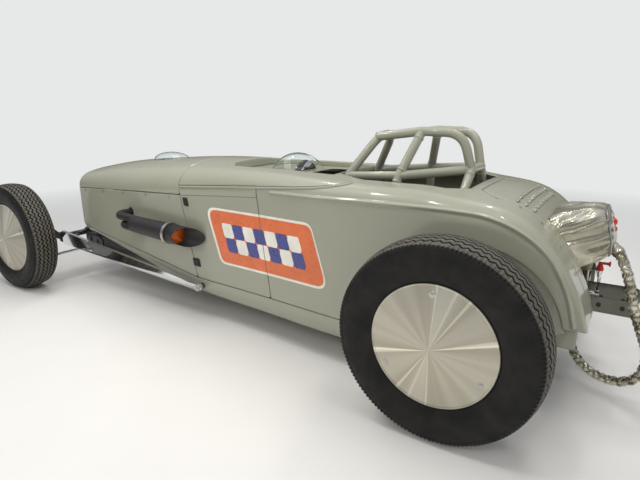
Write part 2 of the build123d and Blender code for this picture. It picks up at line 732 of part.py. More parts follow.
def make_rear_links():
    """Trailing links from the rails to the axle tubes, one each side."""
    links = []
    for y_sign in (-1, 1):
        y = y_sign * 350
        bar = tube([(-620, y, 300), (-30, y, REAR_TYRE_R - 52)], 16)
        clamp = block(-42, 42, y - 20, y + 20, REAR_TYRE_R - 62, REAR_TYRE_R - 38.1)
        foot_y = sorted((y_sign * (RAIL_Y + 25.2), y + 18 * y_sign))
        foot = block(-650, -600, foot_y[0], foot_y[1], 235, 315)
        links.append(bar + clamp + foot)
    return links


def make_engine():
    s_low, s_high = ENGINE_S
    return block(s_low, s_high, -ENGINE_HALF_W, ENGINE_HALF_W, ENGINE_Z[0], ENGINE_Z[1])


def on_exhaust(y_sign, s):
    """A place on the exhaust's tilted axis at s, its own +Z pointing rearwards."""
    drop = (s - CLAMP_S) * math.tan(math.radians(EXHAUST_TILT))
    return Pos(x_at(s), y_sign * EXHAUST_Y, EXHAUST_Z - drop) * Rot(0, 90 + EXHAUST_TILT, 0)


def make_exhaust(y_sign):
    """Two stacked pipes into one collector, then a tip that is cut at a slant."""
    y = y_sign * EXHAUST_Y
    middle = (COLLECTOR_S + CLAMP_S) / 2
    pipe = on_exhaust(y_sign, middle) * Cone(COLLECTOR_R, EXHAUST_TIP_R, CLAMP_S - COLLECTOR_S)
    tip_len = TIP_S - CLAMP_S
    middle = (TIP_S + CLAMP_S) / 2
    pipe = pipe + on_exhaust(y_sign, middle) * Cylinder(EXHAUST_TIP_R, tip_len)
    bore = on_exhaust(y_sign, middle + 40) * Cylinder(EXHAUST_TIP_R - EXHAUST_WALL, tip_len)
    for s, z in PIPE_EXITS:
        engine_side = y_sign * (ENGINE_HALF_W + 0.2)
        merge_z = z - (CLAMP_S - 130 - s) * math.tan(math.radians(EXHAUST_TILT)) * 1.2
        pipe = pipe + tube([(s, engine_side, z), (s, y, z), (CLAMP_S - 130, y, merge_z)], PIPE_R, 50)
    pipe = pipe - bore
    slant = [(TIP_S + 12, y_sign * 400), (TIP_S + 12, y_sign * 620), (TIP_S - 290, y_sign * 620)]
    return pipe - plan_prism(slant, 300, 800)


def make_exhaust_clamps():
    """The steel band at each megaphone's end."""
    bands = []
    for y_sign in (-1, 1):
        band = Cylinder(EXHAUST_TIP_R + 8, 22) - Cylinder(EXHAUST_TIP_R + 0.2, 30)
        bands.append(on_exhaust(y_sign, CLAMP_S + 12) * band)
    return bands


def make_exhaust_plugs():
    """A bung in each tip, as fitted when the car is parked."""
    plugs = []
    for y_sign in (-1, 1):
        plug = Cylinder(EXHAUST_TIP_R - EXHAUST_WALL - 0.3, 30)
        plugs.append(on_exhaust(y_sign, CLAMP_S + 70) * plug)
    return plugs


def make_roll_cage():
    """Front hoop, twin bows, lower rails, mid legs and rear braces, all one tube size."""
    r = CAGE_TUBE_R
    foot = RAIL_TOP_Z
    hoop = [(-640, 85, 1161), (-737, 181, 948), (-770, 250, 690), (-800, RAIL_Y, 420), (-800, RAIL_Y, foot)]
    mirror_hoop = [(s, -y, z) for s, y, z in reversed(hoop)]
    solids = [tube(mirror_hoop + hoop, r, 55)]
    for y_sign in (-1, 1):
        rail = [(-737, 181, 948), (-422, 228, 971), (-108, 82, 1004)]
        bow = [(-640, 92, 1155), (-355, 116, 1187), (-150, 112, 1180), (-108, 82, 1004)]
        leg = [(-355, 116, 1184), (-422, 228, 971), (-450, RAIL_Y, 780), (-450, RAIL_Y, foot)]
        brace = [(-108, 82, 1004), (-115, 200, 860), (-150, RAIL_Y, 600), (-150, RAIL_Y, foot)]
        for points, bend in ((rail, CAGE_BEND), (bow, CAGE_BEND + 35), (leg, 60), (brace, 60)):
            solids.append(tube([(s, y * y_sign, z) for s, y, z in points], r, bend))
    solids.append(tube([(-108, -82, 1004), (-108, 82, 1004)], r))
    return joined(solids)


def make_seat():
    """A bucket seat: pan, reclined back and side bolsters."""
    side = [(-640, RAIL_TOP_Z), (-300, RAIL_TOP_Z), (-225, 700), (-285, 712), (-370, 330), (-640, 350)]
    pan = side_prism(side, -190, 190)
    wing = [(-640, RAIL_TOP_Z), (-300, RAIL_TOP_Z), (-240, 620), (-400, 560), (-460, 400), (-640, 400)]
    return pan + side_prism(wing, -215, -190) + side_prism(wing, 190, 215)


def make_steering_column():
    """The shaft from the firewall to the wheel."""
    return tube([COLUMN_FOOT, COLUMN_TOP], 14)


def make_steering_wheel():
    """Rim, three spokes and boss, turning on the column's end."""
    lean = math.degrees(math.atan2(COLUMN_TOP[2] - COLUMN_FOOT[2], COLUMN_TOP[0] + 1719))
    rim = Torus(STEERING_WHEEL_R, 12)
    boss = Pos(0, 0, -8) * Cylinder(28, 24)
    spokes = []
    for index in range(3):
        spokes.append(Rot(0, 0, 120 * index) * Pos(STEERING_WHEEL_R / 2, 0, 0) * Box(STEERING_WHEEL_R, 22, 5))
    wheel = joined([rim, boss] + spokes)
    place = Pos(x_at(COLUMN_TOP[0]), 0, COLUMN_TOP[2]) * Rot(0, 90 - lean, 0)
    return place * Pos(0, 0, 20.5) * wheel


def make_windscreen():
    """A clear bubble ahead of the driver, open at the back."""
    base_r = 165.0
    rise = 105.0
    ball_r = (base_r**2 + rise**2) / (2 * rise)
    centre = Pos(x_at(-1200), 0, RECESS_FLOOR_Z + 0.2 + rise - ball_r)
    bubble = centre * (Sphere(ball_r) - Sphere(ball_r - 4))
    return bubble & block(-1400, -1085, -200, 200, RECESS_FLOOR_Z + 0.2, ABOVE)


def make_hood_bubble():
    """A clear blister over the engine's air intake."""
    long_r = 165.0
    blister = Sphere(100) - Sphere(97)
    blister = scale(blister, by=(long_r / 100, 1.0, 0.62))
    blister = Pos(x_at(-2335), -20, 948) * blister
    return (blister - outer) & block(-2600, -2000, -200, 300, 940, ABOVE)


def make_dash():
    """The small instrument panel under the bubble."""
    plane = Plane(origin=(x_at(-1150), 0, RECESS_FLOOR_Z + 0.1), x_dir=(0, 1, 0), z_dir=(1, 0, 0))
    arc = ThreePointArc((110, 0), (0, 62), (-110, 0))
    return extrude(plane * make_face([arc, Line((-110, 0), (110, 0))]), amount=12)


def make_parachute_pack():
    """The soft pack that swells out of the tail, narrower and higher towards its rear."""
    pack = side_prism(PACK_SIDE, -200, 200) & plan_prism(both_rows(PACK_PLAN), PACK_Z, 900)
    return fillet(pack.edges(), PACK_ROUND)


def make_pack_mount():
    """Shelf and upright that carry the pack on the rear cross bar."""
    shelf = block(320, 452, -105, 105, PACK_Z - 6.3, PACK_Z - 0.3)
    upright = block(425, 440, -60, 60, PUSH_BAR_Z[1] + 0.2, PACK_Z - 0.3)
    return shelf + upright


def make_push_bar():
    """A flat bar bent into a U, bolted to the rear cross bar."""
    half = PUSH_BAR_HALF
    thick = PUSH_BAR_T
    z_low, z_high = PUSH_BAR_Z
    start, end = 440.2, PUSH_BAR_REACH
    bar = block(start, end, -half, half, z_low, z_high)
    corners = [edge for edge in bar.edges().filter_by(Axis.Z) if edge.center().X > x_at(end) - 1]
    bar = fillet(corners, 30)
    hollow = block(start - 20, end - thick, -half + thick, half - thick, z_low - 5, z_high + 5)
    corners = [edge for edge in hollow.edges().filter_by(Axis.Z) if edge.center().X > x_at(end) - thick - 1]
    return bar - fillet(corners, 30 - thick)


def make_tether():
    """The plaited tow line, in straight runs joined by tangent arcs."""
    points = [Vector(x_at(s), y, z) for s, y, z in TETHER_ROUTE]
    radii = []
    for before, here, after in zip(points, points[1:], points[2:]):
        turn = math.radians((here - before).get_angle(after - here))
        run = min((here - before).length, (after - here).length)
        radii.append(0.45 * run / math.tan(turn / 2))
    path = FilletPolyline(*points, radius=radii)
    rope = sweep(Plane(origin=path @ 0, z_dir=path % 0) * Circle(TETHER_R), path=path)
    return rope


def tether_socket():
    """The cup under the rear cross bar that the tether is made fast to."""
    end_s, end_y, end_z = TETHER_ROUTE[-1]
    cup = Pos(x_at(end_s), end_y, end_z + 15) * Cylinder(TETHER_R + 6, 30)
    return cup + block(end_s - 12, end_s + 30, -12, 12, end_z + 20, 350)


write(make_nose_shell(), "nose_shell")
write(make_grille(), "grille")
write(make_hood_top(), "hood_top")
write(make_hood_sides(), "hood_sides")
write(make_cowl_sides(), "cowl_sides")
write(make_belly_pan(), "belly_pan")
write(make_body_tub(), "body_tub")
write(make_deck_lid(), "deck_lid")
write(make_sunken_deck(), "sunken_deck")
write(make_firewall(), "firewall")
write(make_frame_rails(), "frame_rails")
write(make_front_crossmember(), "front_crossmember")
write(make_front_spring(), "front_spring")
write(make_front_axle(), "front_axle")
write(make_tie_rod(), "tie_rod")
write(make_rear_axle(), "rear_axle")
write(Compound(children=make_rear_links()), "rear_links")
write(Compound(children=[make_radius_rod(-1), make_radius_rod(1)]), "radius_rods")
write(Compound(children=[make_exhaust(-1), make_exhaust(1)]), "exhausts")
for y_sign, side in ((-1, "left"), (1, "right")):
    write(make_knuckle(y_sign), "knuckle_" + side)
    write(make_rim(y_sign, FRONT_RIM_W, FRONT_DISC_Y, FRONT_AXLE_S, FRONT_TYRE_R), "front_rim_" + side)
    write(make_disc(y_sign, FRONT_DISC_Y, FRONT_AXLE_S, FRONT_TYRE_R), "front_disc_" + side)
    front = (FRONT_TYRE_R, FRONT_TYRE_W, FRONT_RIM_W, FRONT_DISC_Y, FRONT_AXLE_S)
    write(make_tyre(y_sign, *front), "front_tyre_" + side)
    write(make_rim(y_sign, REAR_RIM_W, REAR_DISC_Y, 0, REAR_TYRE_R), "rear_rim_" + side)
    write(make_disc(y_sign, REAR_DISC_Y, 0, REAR_TYRE_R), "rear_disc_" + side)
    write(make_tyre(y_sign, REAR_TYRE_R, REAR_TYRE_W, REAR_RIM_W, REAR_DISC_Y, 0), "rear_tyre_" + side)
write(make_engine(), "engine_block")
write(Compound(children=make_exhaust_clamps()), "exhaust_clamps")
write(Compound(children=make_exhaust_plugs()), "exhaust_plugs")
write(make_roll_cage(), "roll_cage")
write(make_seat(), "seat")
write(make_steering_column(), "steering_column")
write(make_steering_wheel(), "steering_wheel")
write(make_windscreen(), "windscreen")
write(make_hood_bubble(), "hood_bubble")
write(make_dash(), "dash")
write(make_parachute_pack(), "parachute_pack")
write(make_pack_mount(), "pack_mount")
write(make_push_bar(), "push_bar")
write(make_tether(), "tether")
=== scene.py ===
"""Surfaces and finishes of a dry-lakes racing car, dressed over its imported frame.

Metres. The front is towards -X, the left side is -Y, up is +Z. s is the distance behind
the rear axle, as in the part's source.
"""

import math

import bmesh
import bpy
import numpy as np
from mathutils import Matrix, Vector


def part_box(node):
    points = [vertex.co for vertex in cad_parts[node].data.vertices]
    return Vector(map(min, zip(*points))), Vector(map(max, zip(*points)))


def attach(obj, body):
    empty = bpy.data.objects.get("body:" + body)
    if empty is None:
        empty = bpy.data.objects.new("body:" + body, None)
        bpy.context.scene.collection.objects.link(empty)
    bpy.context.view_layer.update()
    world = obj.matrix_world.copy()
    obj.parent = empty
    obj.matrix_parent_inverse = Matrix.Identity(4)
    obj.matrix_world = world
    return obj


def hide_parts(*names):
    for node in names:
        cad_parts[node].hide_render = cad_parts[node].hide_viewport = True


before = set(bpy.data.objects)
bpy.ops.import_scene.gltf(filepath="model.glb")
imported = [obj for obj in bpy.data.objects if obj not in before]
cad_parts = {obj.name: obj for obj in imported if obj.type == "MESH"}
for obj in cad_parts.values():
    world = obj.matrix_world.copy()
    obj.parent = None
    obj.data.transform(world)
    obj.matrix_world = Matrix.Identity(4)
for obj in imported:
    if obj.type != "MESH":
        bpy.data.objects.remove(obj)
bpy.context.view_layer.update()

MM = 0.001
rear_low, rear_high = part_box("rear_disc_left")
front_low, front_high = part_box("front_disc_left")
REAR_AXLE_X = (rear_low.x + rear_high.x) / 2
FRONT_AXLE_X = (front_low.x + front_high.x) / 2
WHEEL_CENTRE = {
    "front": (FRONT_AXLE_X, (front_low.z + front_high.z) / 2),
    "rear": (REAR_AXLE_X, (rear_low.z + rear_high.z) / 2),
}
SIDES = (("left", -1), ("right", 1))

# Body cross-sections, in millimetres: s, half width, floor z, floor corner radius,
# side top z, shoulder radius, crown z. The rows behind s = -0.1 follow the rolled tail.
BODY_STATIONS = MM * np.array([
    (-3120, 347, 388, 95, 735, 105, 868),
    (-2750, 372, 330, 90, 750, 140, 928),
    (-2300, 395, 250, 85, 770, 160, 968),
    (-1830, 420, 160, 80, 800, 160, 995),
    (-1160, 460, 130, 90, 845, 120, 985),
    (-600, 510, 130, 90, 850, 100, 965),
    (-400, 523, 135, 90, 848, 100, 962),
    (-200, 526, 155, 90, 844, 100, 959),
    (-90, 522, 176, 90, 832, 98, 948),
    (0, 515, 200, 88, 824, 95, 939),
    (90, 505, 231, 84, 815, 90, 924),
    (150, 498, 255, 81, 804, 84, 907),
    (200, 491, 277, 77, 788, 77, 884),
    (255, 482, 303, 73, 758, 70, 843),
    (300, 475, 325, 70, 722, 63, 798),
    (330, 471, 340, 67, 692, 58, 761),
    (370, 465, 361, 62, 648, 52, 710),
    (405, 460, 378, 54, 598, 47, 653),
    (435, 456, 393, 42, 545, 43, 595),
    (460, 454, 405, 28, 491, 38, 535),
    (480, 450, 414, 12, 436, 28, 469),
    (490, 446, 416, 3, 421, 7, 430),
])

# Where the panels meet, in side view, in metres
NOSE_S = -3.100
NOSE_ROUND = 0.075
NOSE_LIP = 0.012
NOSE_SEAM_S = -3.030
TAIL_S = 0.490
SEAM_1 = ((-1.830, 0.845), (-1.700, 0.262))
SEAM_2 = ((-1.160, 0.893), (-1.070, 0.262))
SPLIT_NOSE = (NOSE_SEAM_S, 0.738)
SPLIT_REAR = (-1.8173, 0.788)
PAN_NOSE = (NOSE_SEAM_S, 0.440)
PAN_REAR_S = -0.400
CREASE_Z = 0.262
ABOVE = 1.2
BELOW = 0.06
PAST_TAIL_S = 0.6
GAP = 0.0011
EDGE_R = 0.005
SKIN = 0.003

# Plan outlines: s, half width
RECESS = ((-1.550, 0.180), (-1.480, 0.270), (-0.775, 0.275))
SLOT = ((-1.040, 0.135), (-1.000, 0.150), (-0.775, 0.150))
COCKPIT = ((-0.775, 0.215), (-0.640, 0.290), (-0.560, 0.330), (-0.150, 0.330), (-0.060, 0.250))
DECK_LID = ((-0.010, 0.230), (0.060, 0.300), (0.520, 0.300))
LID_LOW_Z = 0.450
RECESS_FLOOR_Z = 0.938
RECESS_SQUEEZE = 0.992
CHUTE_MOUTH_HALF = 0.200
CHUTE_MOUTH_Z = (0.395, 0.824)

# Grille
GRILLE_W = 0.250
GRILLE_H = 0.300
GRILLE_Z = 0.625

BODY_COLOUR = (0.300, 0.303, 0.236)


# Finishes


class Finish:
    """One material: a Principled shader and the nodes that feed it."""

    def __init__(self, name, colour, metallic=0.0, roughness=0.5):
        self.material = bpy.data.materials.new(name)
        self.material.use_nodes = True
        self.nodes = self.material.node_tree.nodes
        self.links = self.material.node_tree.links
        self.shader = self.nodes["Principled BSDF"]
        self.shader.inputs["Base Color"].default_value = (*colour, 1)
        self.shader.inputs["Metallic"].default_value = metallic
        self.shader.inputs["Roughness"].default_value = roughness
        self.coordinates = self.nodes.new("ShaderNodeTexCoord")
        self.place = self.coordinates.outputs["Object"]
        self.bumps = None

    def node(self, kind, **inputs):
        """A new node, with values or links for its named inputs."""
        made = self.nodes.new(kind)
        for key, value in inputs.items():
            self.feed(made.inputs[key.replace("_", " ")], value)
        return made

    def feed(self, socket, value):
        """Links a socket to an input, or writes a plain value into it."""
        if isinstance(value, bpy.types.NodeSocket):
            self.links.new(value, socket)
        else:
            socket.default_value = value

    def noise(self, scale, detail=3.0, stretch=(1, 1, 1), place=None):
        """Smooth random bumps, finer for a larger scale, drawn out along an axis."""
        mapping = self.node("ShaderNodeMapping", Vector=place or self.place, Scale=stretch)
        made = self.node("ShaderNodeTexNoise", Vector=mapping.outputs[0], Scale=scale, Detail=detail)
        return made.outputs["Fac"]

    def ramp(self, value, low, high, start, end):
        """A value that runs from start to end while the given one runs from low to high."""
        made = self.node("ShaderNodeMapRange")
        for index, number in enumerate((value, low, high, start, end)):
            self.feed(made.inputs[index], number)
        return made.outputs[0]

    def mixed(self, share, first, second):
        """A colour between first and second."""
        made = self.node("ShaderNodeMix")
        made.data_type = "RGBA"
        self.feed(made.inputs["Factor"], share)
        for socket, colour in ((made.inputs[6], first), (made.inputs[7], second)):
            self.feed(socket, colour if isinstance(colour, bpy.types.NodeSocket) else (*colour, 1))
        return made.outputs[2]

    def figure(self, operation, first, second):
        """One sum on two numbers."""
        made = self.node("ShaderNodeMath")
        made.operation = operation
        self.feed(made.inputs[0], first)
        self.feed(made.inputs[1], second)
        return made.outputs[0]

    def bump(self, height, strength, distance=0.001):
        """Adds relief to the surface normal."""
        made = self.node("ShaderNodeBump", Height=height, Strength=strength, Distance=distance)
        if self.bumps is not None:
            self.links.new(self.bumps, made.inputs["Normal"])
        self.bumps = made.outputs[0]
        self.links.new(self.bumps, self.shader.inputs["Normal"])

    def colour(self, socket):
        """Takes the base colour from a node."""
        self.links.new(socket, self.shader.inputs["Base Color"])

    def roughness(self, socket):
        """Takes the roughness from a node."""
        self.links.new(socket, self.shader.inputs["Roughness"])

    def set(self, **inputs):
        """Numbers that are the same all over, set on the shader's own sockets."""
        for key, value in inputs.items():
            self.shader.inputs[key.replace("_", " ")].default_value = value


def mottled(finish, colour, amount, scale):
    """Slow light and dark drift over the whole piece, with a finer one inside it."""
    dark = tuple(c * (1 - amount) for c in colour)
    light = tuple(min(1, c * (1 + amount)) for c in colour)
    slow = finish.noise(scale, 4)
    finish.colour(finish.mixed(finish.ramp(slow, 0.3, 0.7, 0, 1), dark, light))


def body_enamel():
    """Grey-green gloss enamel: faint drift of tone, slight ripple under a clear coat."""
    finish = Finish("body_enamel", BODY_COLOUR, 0.0, 0.34)
    mottled(finish, BODY_COLOUR, 0.035, 2.2)
    dust = finish.noise(38, 5)
    finish.roughness(finish.ramp(dust, 0.3, 0.7, 0.30, 0.40))
    finish.bump(finish.noise(900, 2), 0.02, 0.0004)
    finish.set(Coat_Weight=0.75, Coat_Roughness=0.07)
    return finish.material


def plain_enamel(name, colour, roughness, coat=0.0):
    """Sprayed enamel with drift of tone, fine peel and uneven sheen."""
    finish = Finish(name, colour, 0.0, roughness)
    mottled(finish, colour, 0.10, 9)
    finish.roughness(finish.ramp(finish.noise(60, 4), 0.3, 0.7, roughness * 0.85, roughness * 1.15))
    finish.bump(finish.noise(700, 3), 0.08, 0.0006)
    finish.set(Coat_Weight=coat, Coat_Roughness=0.08)
    return finish.material


def bare_metal(name, colour, roughness, stretch=(1, 1, 1), depth=0.1):
    """Bare metal with a directional grain whose roughness differs by a quarter."""
    finish = Finish(name, colour, 1.0, roughness)
    mottled(finish, colour, 0.08, 7)
    grain = finish.noise(180, 4, stretch)
    finish.roughness(finish.ramp(grain, 0.3, 0.7, roughness * 0.75, roughness * 1.25))
    finish.bump(grain, depth, 0.0003)
    return finish.material


# Disc tones: the dark end of the wedges is painted shade, the pale end painted sheen and the streak colour a
# painted highlight; the ring colour is the brushed rings' own tone.
SHADED_SHEEN_METAL, PALE_METAL = (0.42, 0.385, 0.31), (0.56, 0.535, 0.45)
RING_METAL, HIGHLIGHT_STREAK_METAL = (0.70, 0.67, 0.58), (0.93, 0.89, 0.74)


def spun_metal(name, end):
    """Brushed in circles about the axle. Fine rings of tone follow the distance from the centre.
    Wide wedges of painted sheen and painted shade, and a few painted highlight streaks, follow
    the turn about it: both are noise at the place (x^2 - z^2, x z) of the unit direction, which is
    the same on opposite sides."""
    finish = Finish(name, PALE_METAL, 1.0, 0.26)
    x, z = WHEEL_CENTRE[end]
    centred = finish.node("ShaderNodeMapping", Vector=finish.place, Location=(-x, 0, -z), Scale=(1, 0, 1))
    radius = finish.node("ShaderNodeVectorMath", Vector=centred.outputs[0])
    radius.operation = "LENGTH"
    rings = finish.node("ShaderNodeTexNoise", Scale=520.0, Detail=6.0, Roughness=0.75)
    rings.noise_dimensions = "1D"
    finish.links.new(radius.outputs["Value"], rings.inputs["W"])
    fine = rings.outputs["Fac"]
    turned_to = finish.node("ShaderNodeVectorMath", Vector=centred.outputs[0])
    turned_to.operation = "NORMALIZE"
    parts = finish.node("ShaderNodeSeparateXYZ", Vector=turned_to.outputs[0]).outputs
    squares = [finish.figure("MULTIPLY", parts[name], parts[name]) for name in ("X", "Z")]
    doubled = finish.node(
        "ShaderNodeCombineXYZ",
        X=finish.figure("SUBTRACT", *squares),
        Y=finish.figure("MULTIPLY", parts["X"], parts["Z"]),
    )
    # Painted sheen and shade in wide wedges, and painted highlight streaks, standing in for the lamps'
    # reflections in the spun metal.
    tone = finish.noise(0.9, 2.0, (1, 2, 1), doubled.outputs[0])
    highlight_beam = finish.noise(2.6, 2.0, (1, 2, 1), doubled.outputs[0])
    sheen_fans = finish.mixed(finish.ramp(tone, 0.40, 0.60, 0, 1), SHADED_SHEEN_METAL, PALE_METAL)
    ringed = finish.mixed(finish.ramp(fine, 0.3, 0.7, 0, 0.25), sheen_fans, RING_METAL)
    finish.colour(finish.mixed(finish.ramp(highlight_beam, 0.61, 0.68, 0, 1), ringed, HIGHLIGHT_STREAK_METAL))
    finish.roughness(finish.ramp(fine, 0.25, 0.75, 0.25, 0.36))
    finish.bump(fine, 0.05, 0.0002)
    tangent = finish.node("ShaderNodeTangent")
    tangent.direction_type = "UV_MAP"
    tangent.uv_map = "turning"
    finish.links.new(tangent.outputs[0], finish.shader.inputs["Tangent"])
    finish.set(Anisotropic=0.80)
    return finish.material


def rubber(name, dark, light, patch_scale):
    """Dull rubber, paler in patches of dust, with a faint grain."""
    finish = Finish(name, light, 0.0, 0.60)
    patch = finish.noise(patch_scale, 5)
    finish.colour(finish.mixed(finish.ramp(patch, 0.35, 0.7, 0, 1), dark, light))
    finish.bump(finish.noise(900, 2), 0.15, 0.0005)
    return finish


def wall_rubber():
    """Black side wall with an uneven low sheen."""
    finish = rubber("tyre_rubber", (0.008, 0.008, 0.008), (0.017, 0.016, 0.015), 14)
    finish.roughness(finish.ramp(finish.noise(40, 3), 0.3, 0.7, 0.42, 0.62))
    finish.set(Specular_IOR_Level=0.22)
    return finish.material


def tread_rubber():
    """Scuffed tread faces: brown-grey dust over black rubber."""
    return rubber("tread_rubber", (0.060, 0.056, 0.045), (0.105, 0.097, 0.078), 60).material


# Cloth tones: the olive one is painted shade, the bright one a painted highlight.
SHADED_CLOTH, HIGHLIGHT_CLOTH = (0.44, 0.415, 0.32), (0.84, 0.81, 0.68)


def silver_cloth(name):
    """Aluminised cloth: olive patches of painted shade and bright patches of painted highlight, drawn
    out along the car, fine creases in the coating and a close weave under it."""
    finish = Finish(name, HIGHLIGHT_CLOTH, 0.9, 0.28)
    crease = finish.node("ShaderNodeTexVoronoi", Vector=finish.place, Scale=42.0)
    crease.feature = "DISTANCE_TO_EDGE"
    edge = finish.ramp(crease.outputs["Distance"], 0.0, 0.10, 0.0, 1.0)
    # Painted shade and painted highlight: olive and bright patches drawn out along the car like lit and
    # shaded folds.
    patch = finish.noise(8, 1, (0.4, 1, 1.6))
    finish.colour(finish.mixed(finish.ramp(patch, 0.38, 0.62, 0, 1), SHADED_CLOTH, HIGHLIGHT_CLOTH))
    finish.roughness(finish.ramp(finish.noise(24, 3), 0.3, 0.7, 0.20, 0.34))
    finish.bump(edge, 0.03, 0.0008)
    finish.bump(finish.noise(1500, 1), 0.03, 0.0002)
    return finish.material


def clear_sheet():
    """Thin clear acrylic with a faint green edge."""
    finish = Finish("clear_sheet", (0.93, 0.97, 0.96), 0.0, 0.04)
    finish.roughness(finish.ramp(finish.noise(30, 3), 0.3, 0.7, 0.02, 0.07))
    finish.set(Transmission_Weight=1.0, IOR=1.08, Coat_Weight=0.6, Coat_Roughness=0.03)
    return finish.material


def hide(name, colour):
    """Black grained hide, uneven in sheen."""
    finish = Finish(name, colour, 0.0, 0.5)
    mottled(finish, colour, 0.15, 12)
    grain = finish.node("ShaderNodeTexVoronoi", Vector=finish.place, Scale=420.0)
    finish.bump(grain.outputs["Distance"], 0.35, 0.0005)
    finish.roughness(finish.ramp(finish.noise(40, 3), 0.3, 0.7, 0.4, 0.6))
    return finish.material


ENAMEL = body_enamel()
FRAME_BLACK = plain_enamel("frame_enamel", (0.020, 0.020, 0.021), 0.34, 0.35)
EXHAUST_BLACK = plain_enamel("exhaust_coating", (0.018, 0.017, 0.017), 0.48)
IRON = plain_enamel("engine_paint", (0.05, 0.05, 0.05), 0.5)
RIM_GREY = plain_enamel("rim_enamel", (0.26, 0.26, 0.24), 0.35, 0.4)
ORANGE = plain_enamel("plug_orange", (0.80, 0.16, 0.02), 0.42)
RED = plain_enamel("pin_red", (0.52, 0.02, 0.015), 0.30, 0.5)
GLOSS_BLACK = plain_enamel("panel_black", (0.012, 0.012, 0.012), 0.20, 0.6)
GRIP = plain_enamel("grip_black", (0.02, 0.02, 0.02), 0.6)
CHROME = bare_metal("chrome_plate", (0.86, 0.86, 0.87), 0.07, (1, 1, 1), 0.02)
STEEL = bare_metal("machined_steel", (0.52, 0.51, 0.49), 0.30, (1, 8, 8))
BAR_METAL = bare_metal("bar_metal", (0.125, 0.125, 0.105), 0.20, (1, 8, 8))
TREAD = tread_rubber()
SHEET = bare_metal("bare_sheet", (0.50, 0.45, 0.34), 0.30, (1, 10, 1))
TYRE = wall_rubber()
PACK_CLOTH = silver_cloth("pack_cloth")
TETHER_CLOTH = silver_cloth("tether_cloth")
HEM = bare_metal("hem_binding", (0.52, 0.53, 0.60), 0.32)
CLEAR = clear_sheet()
SEAT_HIDE = hide("seat_hide", (0.02, 0.02, 0.02))
PANEL_ORANGE = plain_enamel("flank_orange", (0.66, 0.13, 0.025), 0.30, 0.6)
PANEL_CREAM = plain_enamel("flank_cream", (0.78, 0.76, 0.68), 0.30, 0.6)
PANEL_BLUE = plain_enamel("flank_blue", (0.030, 0.040, 0.22), 0.30, 0.6)
STRIPE_DARK = plain_enamel("stripe_dark", (0.03, 0.03, 0.03), 0.35, 0.5)


# Mesh helpers


def piece(name, points, faces, material, body="chassis", slot=None, smooth=35, uv=None):
    """A mesh object from arrays of points and faces, at the origin, riding on a body."""
    mesh = bpy.data.meshes.new(name)
    mesh.from_pydata(np.asarray(points, float).reshape(-1, 3).tolist(), [], faces.tolist())
    if uv is not None:
        layer = mesh.uv_layers.new(name="turning")
        layer.data.foreach_set("uv", np.asarray(uv, np.float32).ravel())
    merge_and_shade(mesh, smooth, uv is None)
    mesh.materials.append(material)
    made = bpy.data.objects.new(name, mesh)
    bpy.context.scene.collection.objects.link(made)
    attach(made, body)
    return made


def merge_and_shade(mesh, smooth, turn_out):
    """Merges doubles, turns faces outwards where asked, and keeps edges past the angle sharp."""
    work = bmesh.new()
    work.from_mesh(mesh)
    bmesh.ops.remove_doubles(work, verts=work.verts, dist=2e-6)
    loose = [v for v in work.verts if not v.link_faces]
    bmesh.ops.delete(work, geom=loose, context="VERTS")
    if turn_out:
        bmesh.ops.recalc_face_normals(work, faces=work.faces)
    work.to_mesh(mesh)
    work.free()
    mesh.shade_smooth()
    mesh.set_sharp_from_angle(angle=math.radians(smooth))


def grid_faces(rows, columns, close_rows=False, close_columns=False):
    """Quads over a grid of points stored row by row, joined end to end where asked."""
    i = np.arange(rows if close_rows else rows - 1)
    j = np.arange(columns if close_columns else columns - 1)
    i, j = np.meshgrid(i, j, indexing="ij")
    i_next, j_next = (i + 1) % rows, (j + 1) % columns
    corners = [i * columns + j, i_next * columns + j, i_next * columns + j_next, i * columns + j_next]
    return np.stack(corners, -1).reshape(-1, 4)


def joined_parts(parts):
    """Several (points, faces) pairs as one pair, all with as many corners to a face."""
    points, faces, base = [], [], 0
    for part_points, part_faces in parts:
        points.append(np.asarray(part_points).reshape(-1, 3))
        faces.append(np.asarray(part_faces) + base)
        base += len(points[-1])
    return np.vstack(points), np.vstack(faces)


def unit(vectors):
    """Each vector divided by its length."""
    return vectors / np.maximum(np.linalg.norm(vectors, axis=-1, keepdims=True), 1e-12)


def swept(path, profile, up, closed=False):
    """A closed profile of (across, out) pairs carried along a path. At each path point, out is
    the up vector made square to the path and across is square to both. On an open path the
    first and last rows draw together into the profile's middle, which closes the ends."""
    if closed:
        tangent = unit(np.roll(path, -1, 0) - np.roll(path, 1, 0))
    else:
        tangent = unit(np.gradient(path, axis=0))
    out = unit(up - (up * tangent).sum(1)[:, None] * tangent)
    across = np.cross(out, tangent)
    rows = np.broadcast_to(profile, (len(path), *profile.shape))
    if not closed:
        ends = np.broadcast_to(profile.mean(0), (1, *profile.shape))
        rows = np.concatenate([ends, rows, ends])
        path, across, out = doubled_ends(path), doubled_ends(across), doubled_ends(out)
    points = path[:, None] + rows[..., :1] * across[:, None] + rows[..., 1:] * out[:, None]
    return points, grid_faces(len(path), len(profile), closed, True)


def doubled_ends(rows):
    """The rows with the first and the last one repeated."""
    return np.concatenate([rows[:1], rows, rows[-1:]])


def add_wall(made, thickness, offset=-1):
    """Gives a sheet its thickness: inwards at an offset of -1, both ways at 0."""
    wall = made.modifiers.new("wall", "SOLIDIFY")
    wall.thickness = thickness
    wall.offset = offset


def smooth_copy(node, material, body):
    """A CAD node's own shape with its loose triangles joined, so that round parts look round."""
    mesh = bpy.data.objects[node].data.copy()
    merge_and_shade(mesh, 32, False)
    mesh.materials.clear()
    mesh.materials.append(material)
    made = bpy.data.objects.new(node + "_finished", mesh)
    bpy.context.scene.collection.objects.link(made)
    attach(made, body)
    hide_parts(node)
    return made


# The body skin as a function of s and u


